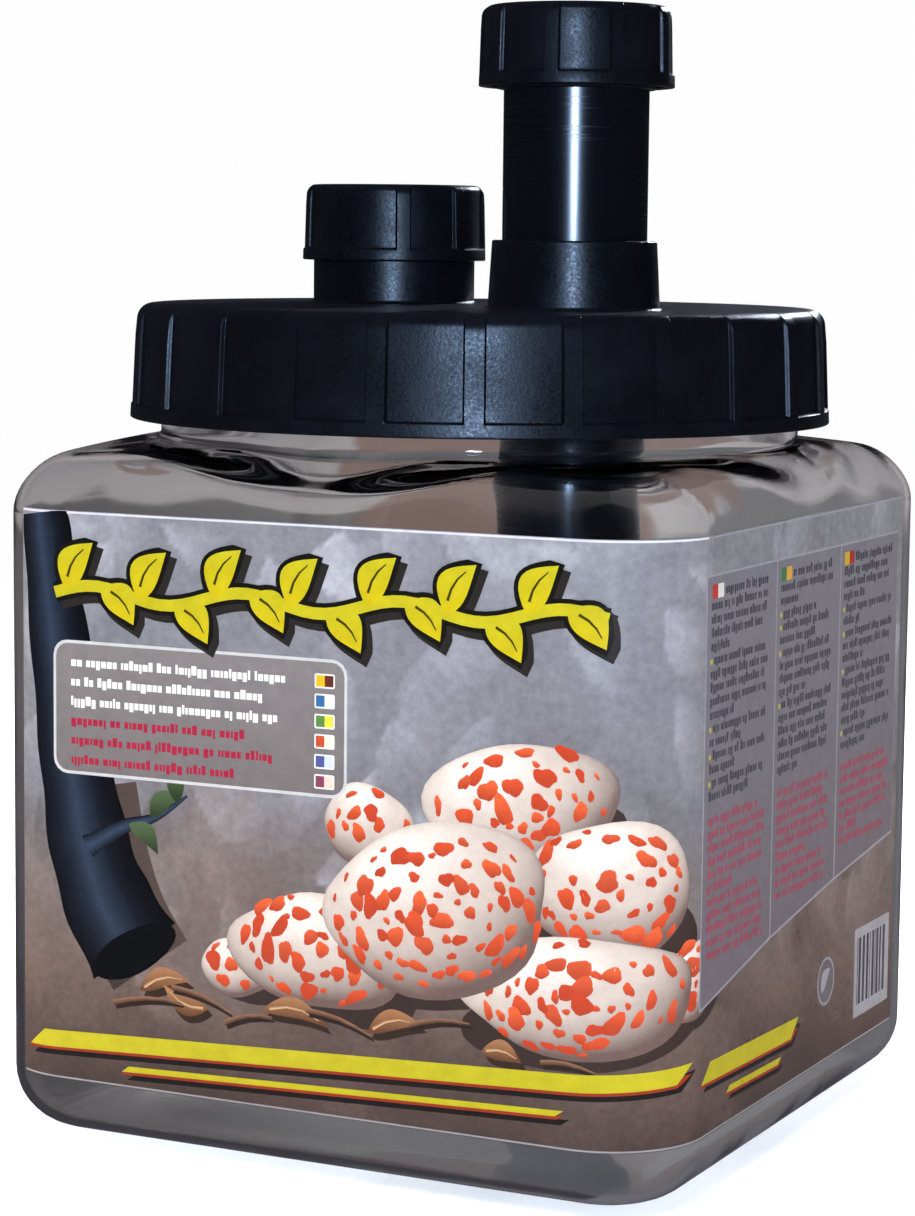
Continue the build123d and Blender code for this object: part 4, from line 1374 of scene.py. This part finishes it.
class Lamp(NamedTuple):
    """A rectangular studio light, turned to a point above the jar's middle."""
    name: str
    place: tuple
    aim_z: float
    width: float
    height: float
    watts: float
    colour: str
    mirrored: bool = False   # whether glossy pieces mirror it
    through: bool = False    # whether the clear wall shows it

    def made(self):
        """The light as an object."""
        data = bpy.data.lights.new(self.name, "AREA")
        data.shape = "RECTANGLE"
        data.size, data.size_y = self.width, self.height
        data.energy = self.watts
        data.color = linear(self.colour)[:3]
        lamp = bpy.data.objects.new(self.name, data)
        lamp.location = self.place
        lamp.rotation_euler = (Vector((0, 0, self.aim_z)) - lamp.location).to_track_quat("-Z", "Y").to_euler()
        lamp.visible_glossy = self.mirrored
        lamp.visible_transmission = self.through
        return lamp


LAMPS = (Lamp("front_flash", (0.262, -0.600, 0.190), 0.10, 0.05, 0.05, 3.75, "#dcecff", True, True),
         Lamp("back_flash", (0.02, 0.70, 0.42), 0.12, 0.08, 0.08, 4.0, "#e6f0ff", True),
         Lamp("overhead_soft", (-0.10, 0.05, 0.95), 0.05, 0.9, 0.9, 16.5, "#ffffff"),
         Lamp("left_soft", (-0.95, 0.0, 0.45), 0.08, 0.5, 0.7, 12.0, "#fffaf4"),
         Lamp("right_soft", (0.95, 0.30, 0.50), 0.08, 0.5, 0.7, 3.0, "#f2f6ff"),
         Lamp("back_soft", (-0.45, 1.0, 0.55), 0.08, 0.6, 0.6, 26.0, "#fffaf4"))


def photo_camera():
    """The camera as worked out from the photo."""
    yaw, pitch, roll = radians(26.16), radians(6.55), radians(0.6)
    ahead = Vector((-sin(yaw) * cos(pitch), cos(yaw) * cos(pitch), -sin(pitch)))
    right = Vector((cos(yaw), sin(yaw), 0.0))
    up = right.cross(ahead)
    right, up = right * cos(roll) + up * sin(roll), up * cos(roll) - right * sin(roll)
    data = bpy.data.cameras.new("photo_camera")
    data.sensor_fit = "VERTICAL"
    data.sensor_height = 24.0
    data.lens = data.sensor_height * FOCAL_PIXELS / FRAME_PIXELS
    data.clip_start = 0.01
    camera = bpy.data.objects.new("photo_camera", data)
    turn = Matrix((right, up, -ahead)).transposed()
    camera.matrix_world = Matrix.Translation(CAMERA_PLACE) @ turn.to_4x4()
    return camera


class KEEPER_OT_stage(bpy.types.Operator):
    """Pale floor that fades into a pale backdrop, soft studio lights, and the camera"""
    bl_idname = "keeper.stage"
    bl_label = "Studio"

    def execute(self, context):
        scene = context.scene
        nothing_selected()
        bpy.ops.mesh.primitive_circle_add(vertices=96, radius=1.6, fill_type="NGON", location=(0, 0, 0))
        floor = context.object
        floor.name = "studio_floor"
        floor.data.materials.append(floor_card())
        floor.visible_glossy = False
        floor.visible_transmission = False
        scene.world = pale_world()
        for lamp in LAMPS:
            scene.collection.objects.link(lamp.made())
        scene.camera = photo_camera()
        scene.collection.objects.link(scene.camera)
        scene.view_settings.view_transform = "Standard"
        return {"FINISHED"}


class KEEPER_PT_panel(bpy.types.Panel):
    """Lists the box's pieces and their sizes and colours"""
    bl_label = "Cricket Keeper Box"
    bl_idname = "KEEPER_PT_panel"
    bl_space_type = "VIEW_3D"
    bl_region_type = "UI"
    bl_category = "Keeper"

    def draw(self, context):
        for operator in OPERATORS:
            self.layout.operator(operator.bl_idname)
        for group in (context.scene.keeper_sizes, context.scene.keeper_colours):
            for name in group.__annotations__:
                self.layout.prop(group, name)


OPERATORS = (KEEPER_OT_jar, KEEPER_OT_label, KEEPER_OT_lid, KEEPER_OT_small_caps, KEEPER_OT_liners, KEEPER_OT_tube,
             KEEPER_OT_stage)
CLASSES = (KeeperSizes, KeeperColours, *OPERATORS, KEEPER_PT_panel)


def register():
    """Registers the classes and hangs the sizes and colours on the scene."""
    for cls in CLASSES:
        bpy.utils.register_class(cls)
    bpy.types.Scene.keeper_sizes = PointerProperty(type=KeeperSizes)
    bpy.types.Scene.keeper_colours = PointerProperty(type=KeeperColours)


def unregister():
    """Takes everything back."""
    del bpy.types.Scene.keeper_colours
    del bpy.types.Scene.keeper_sizes
    for cls in reversed(CLASSES):
        bpy.utils.unregister_class(cls)


def main():
    register()
    bpy.ops.keeper.jar()
    bpy.ops.keeper.label()
    bpy.ops.keeper.lid()
    bpy.ops.keeper.small_caps()
    bpy.ops.keeper.liners()
    bpy.ops.keeper.tube()
    bpy.ops.keeper.stage()


if __name__ == "__main__":
    main()
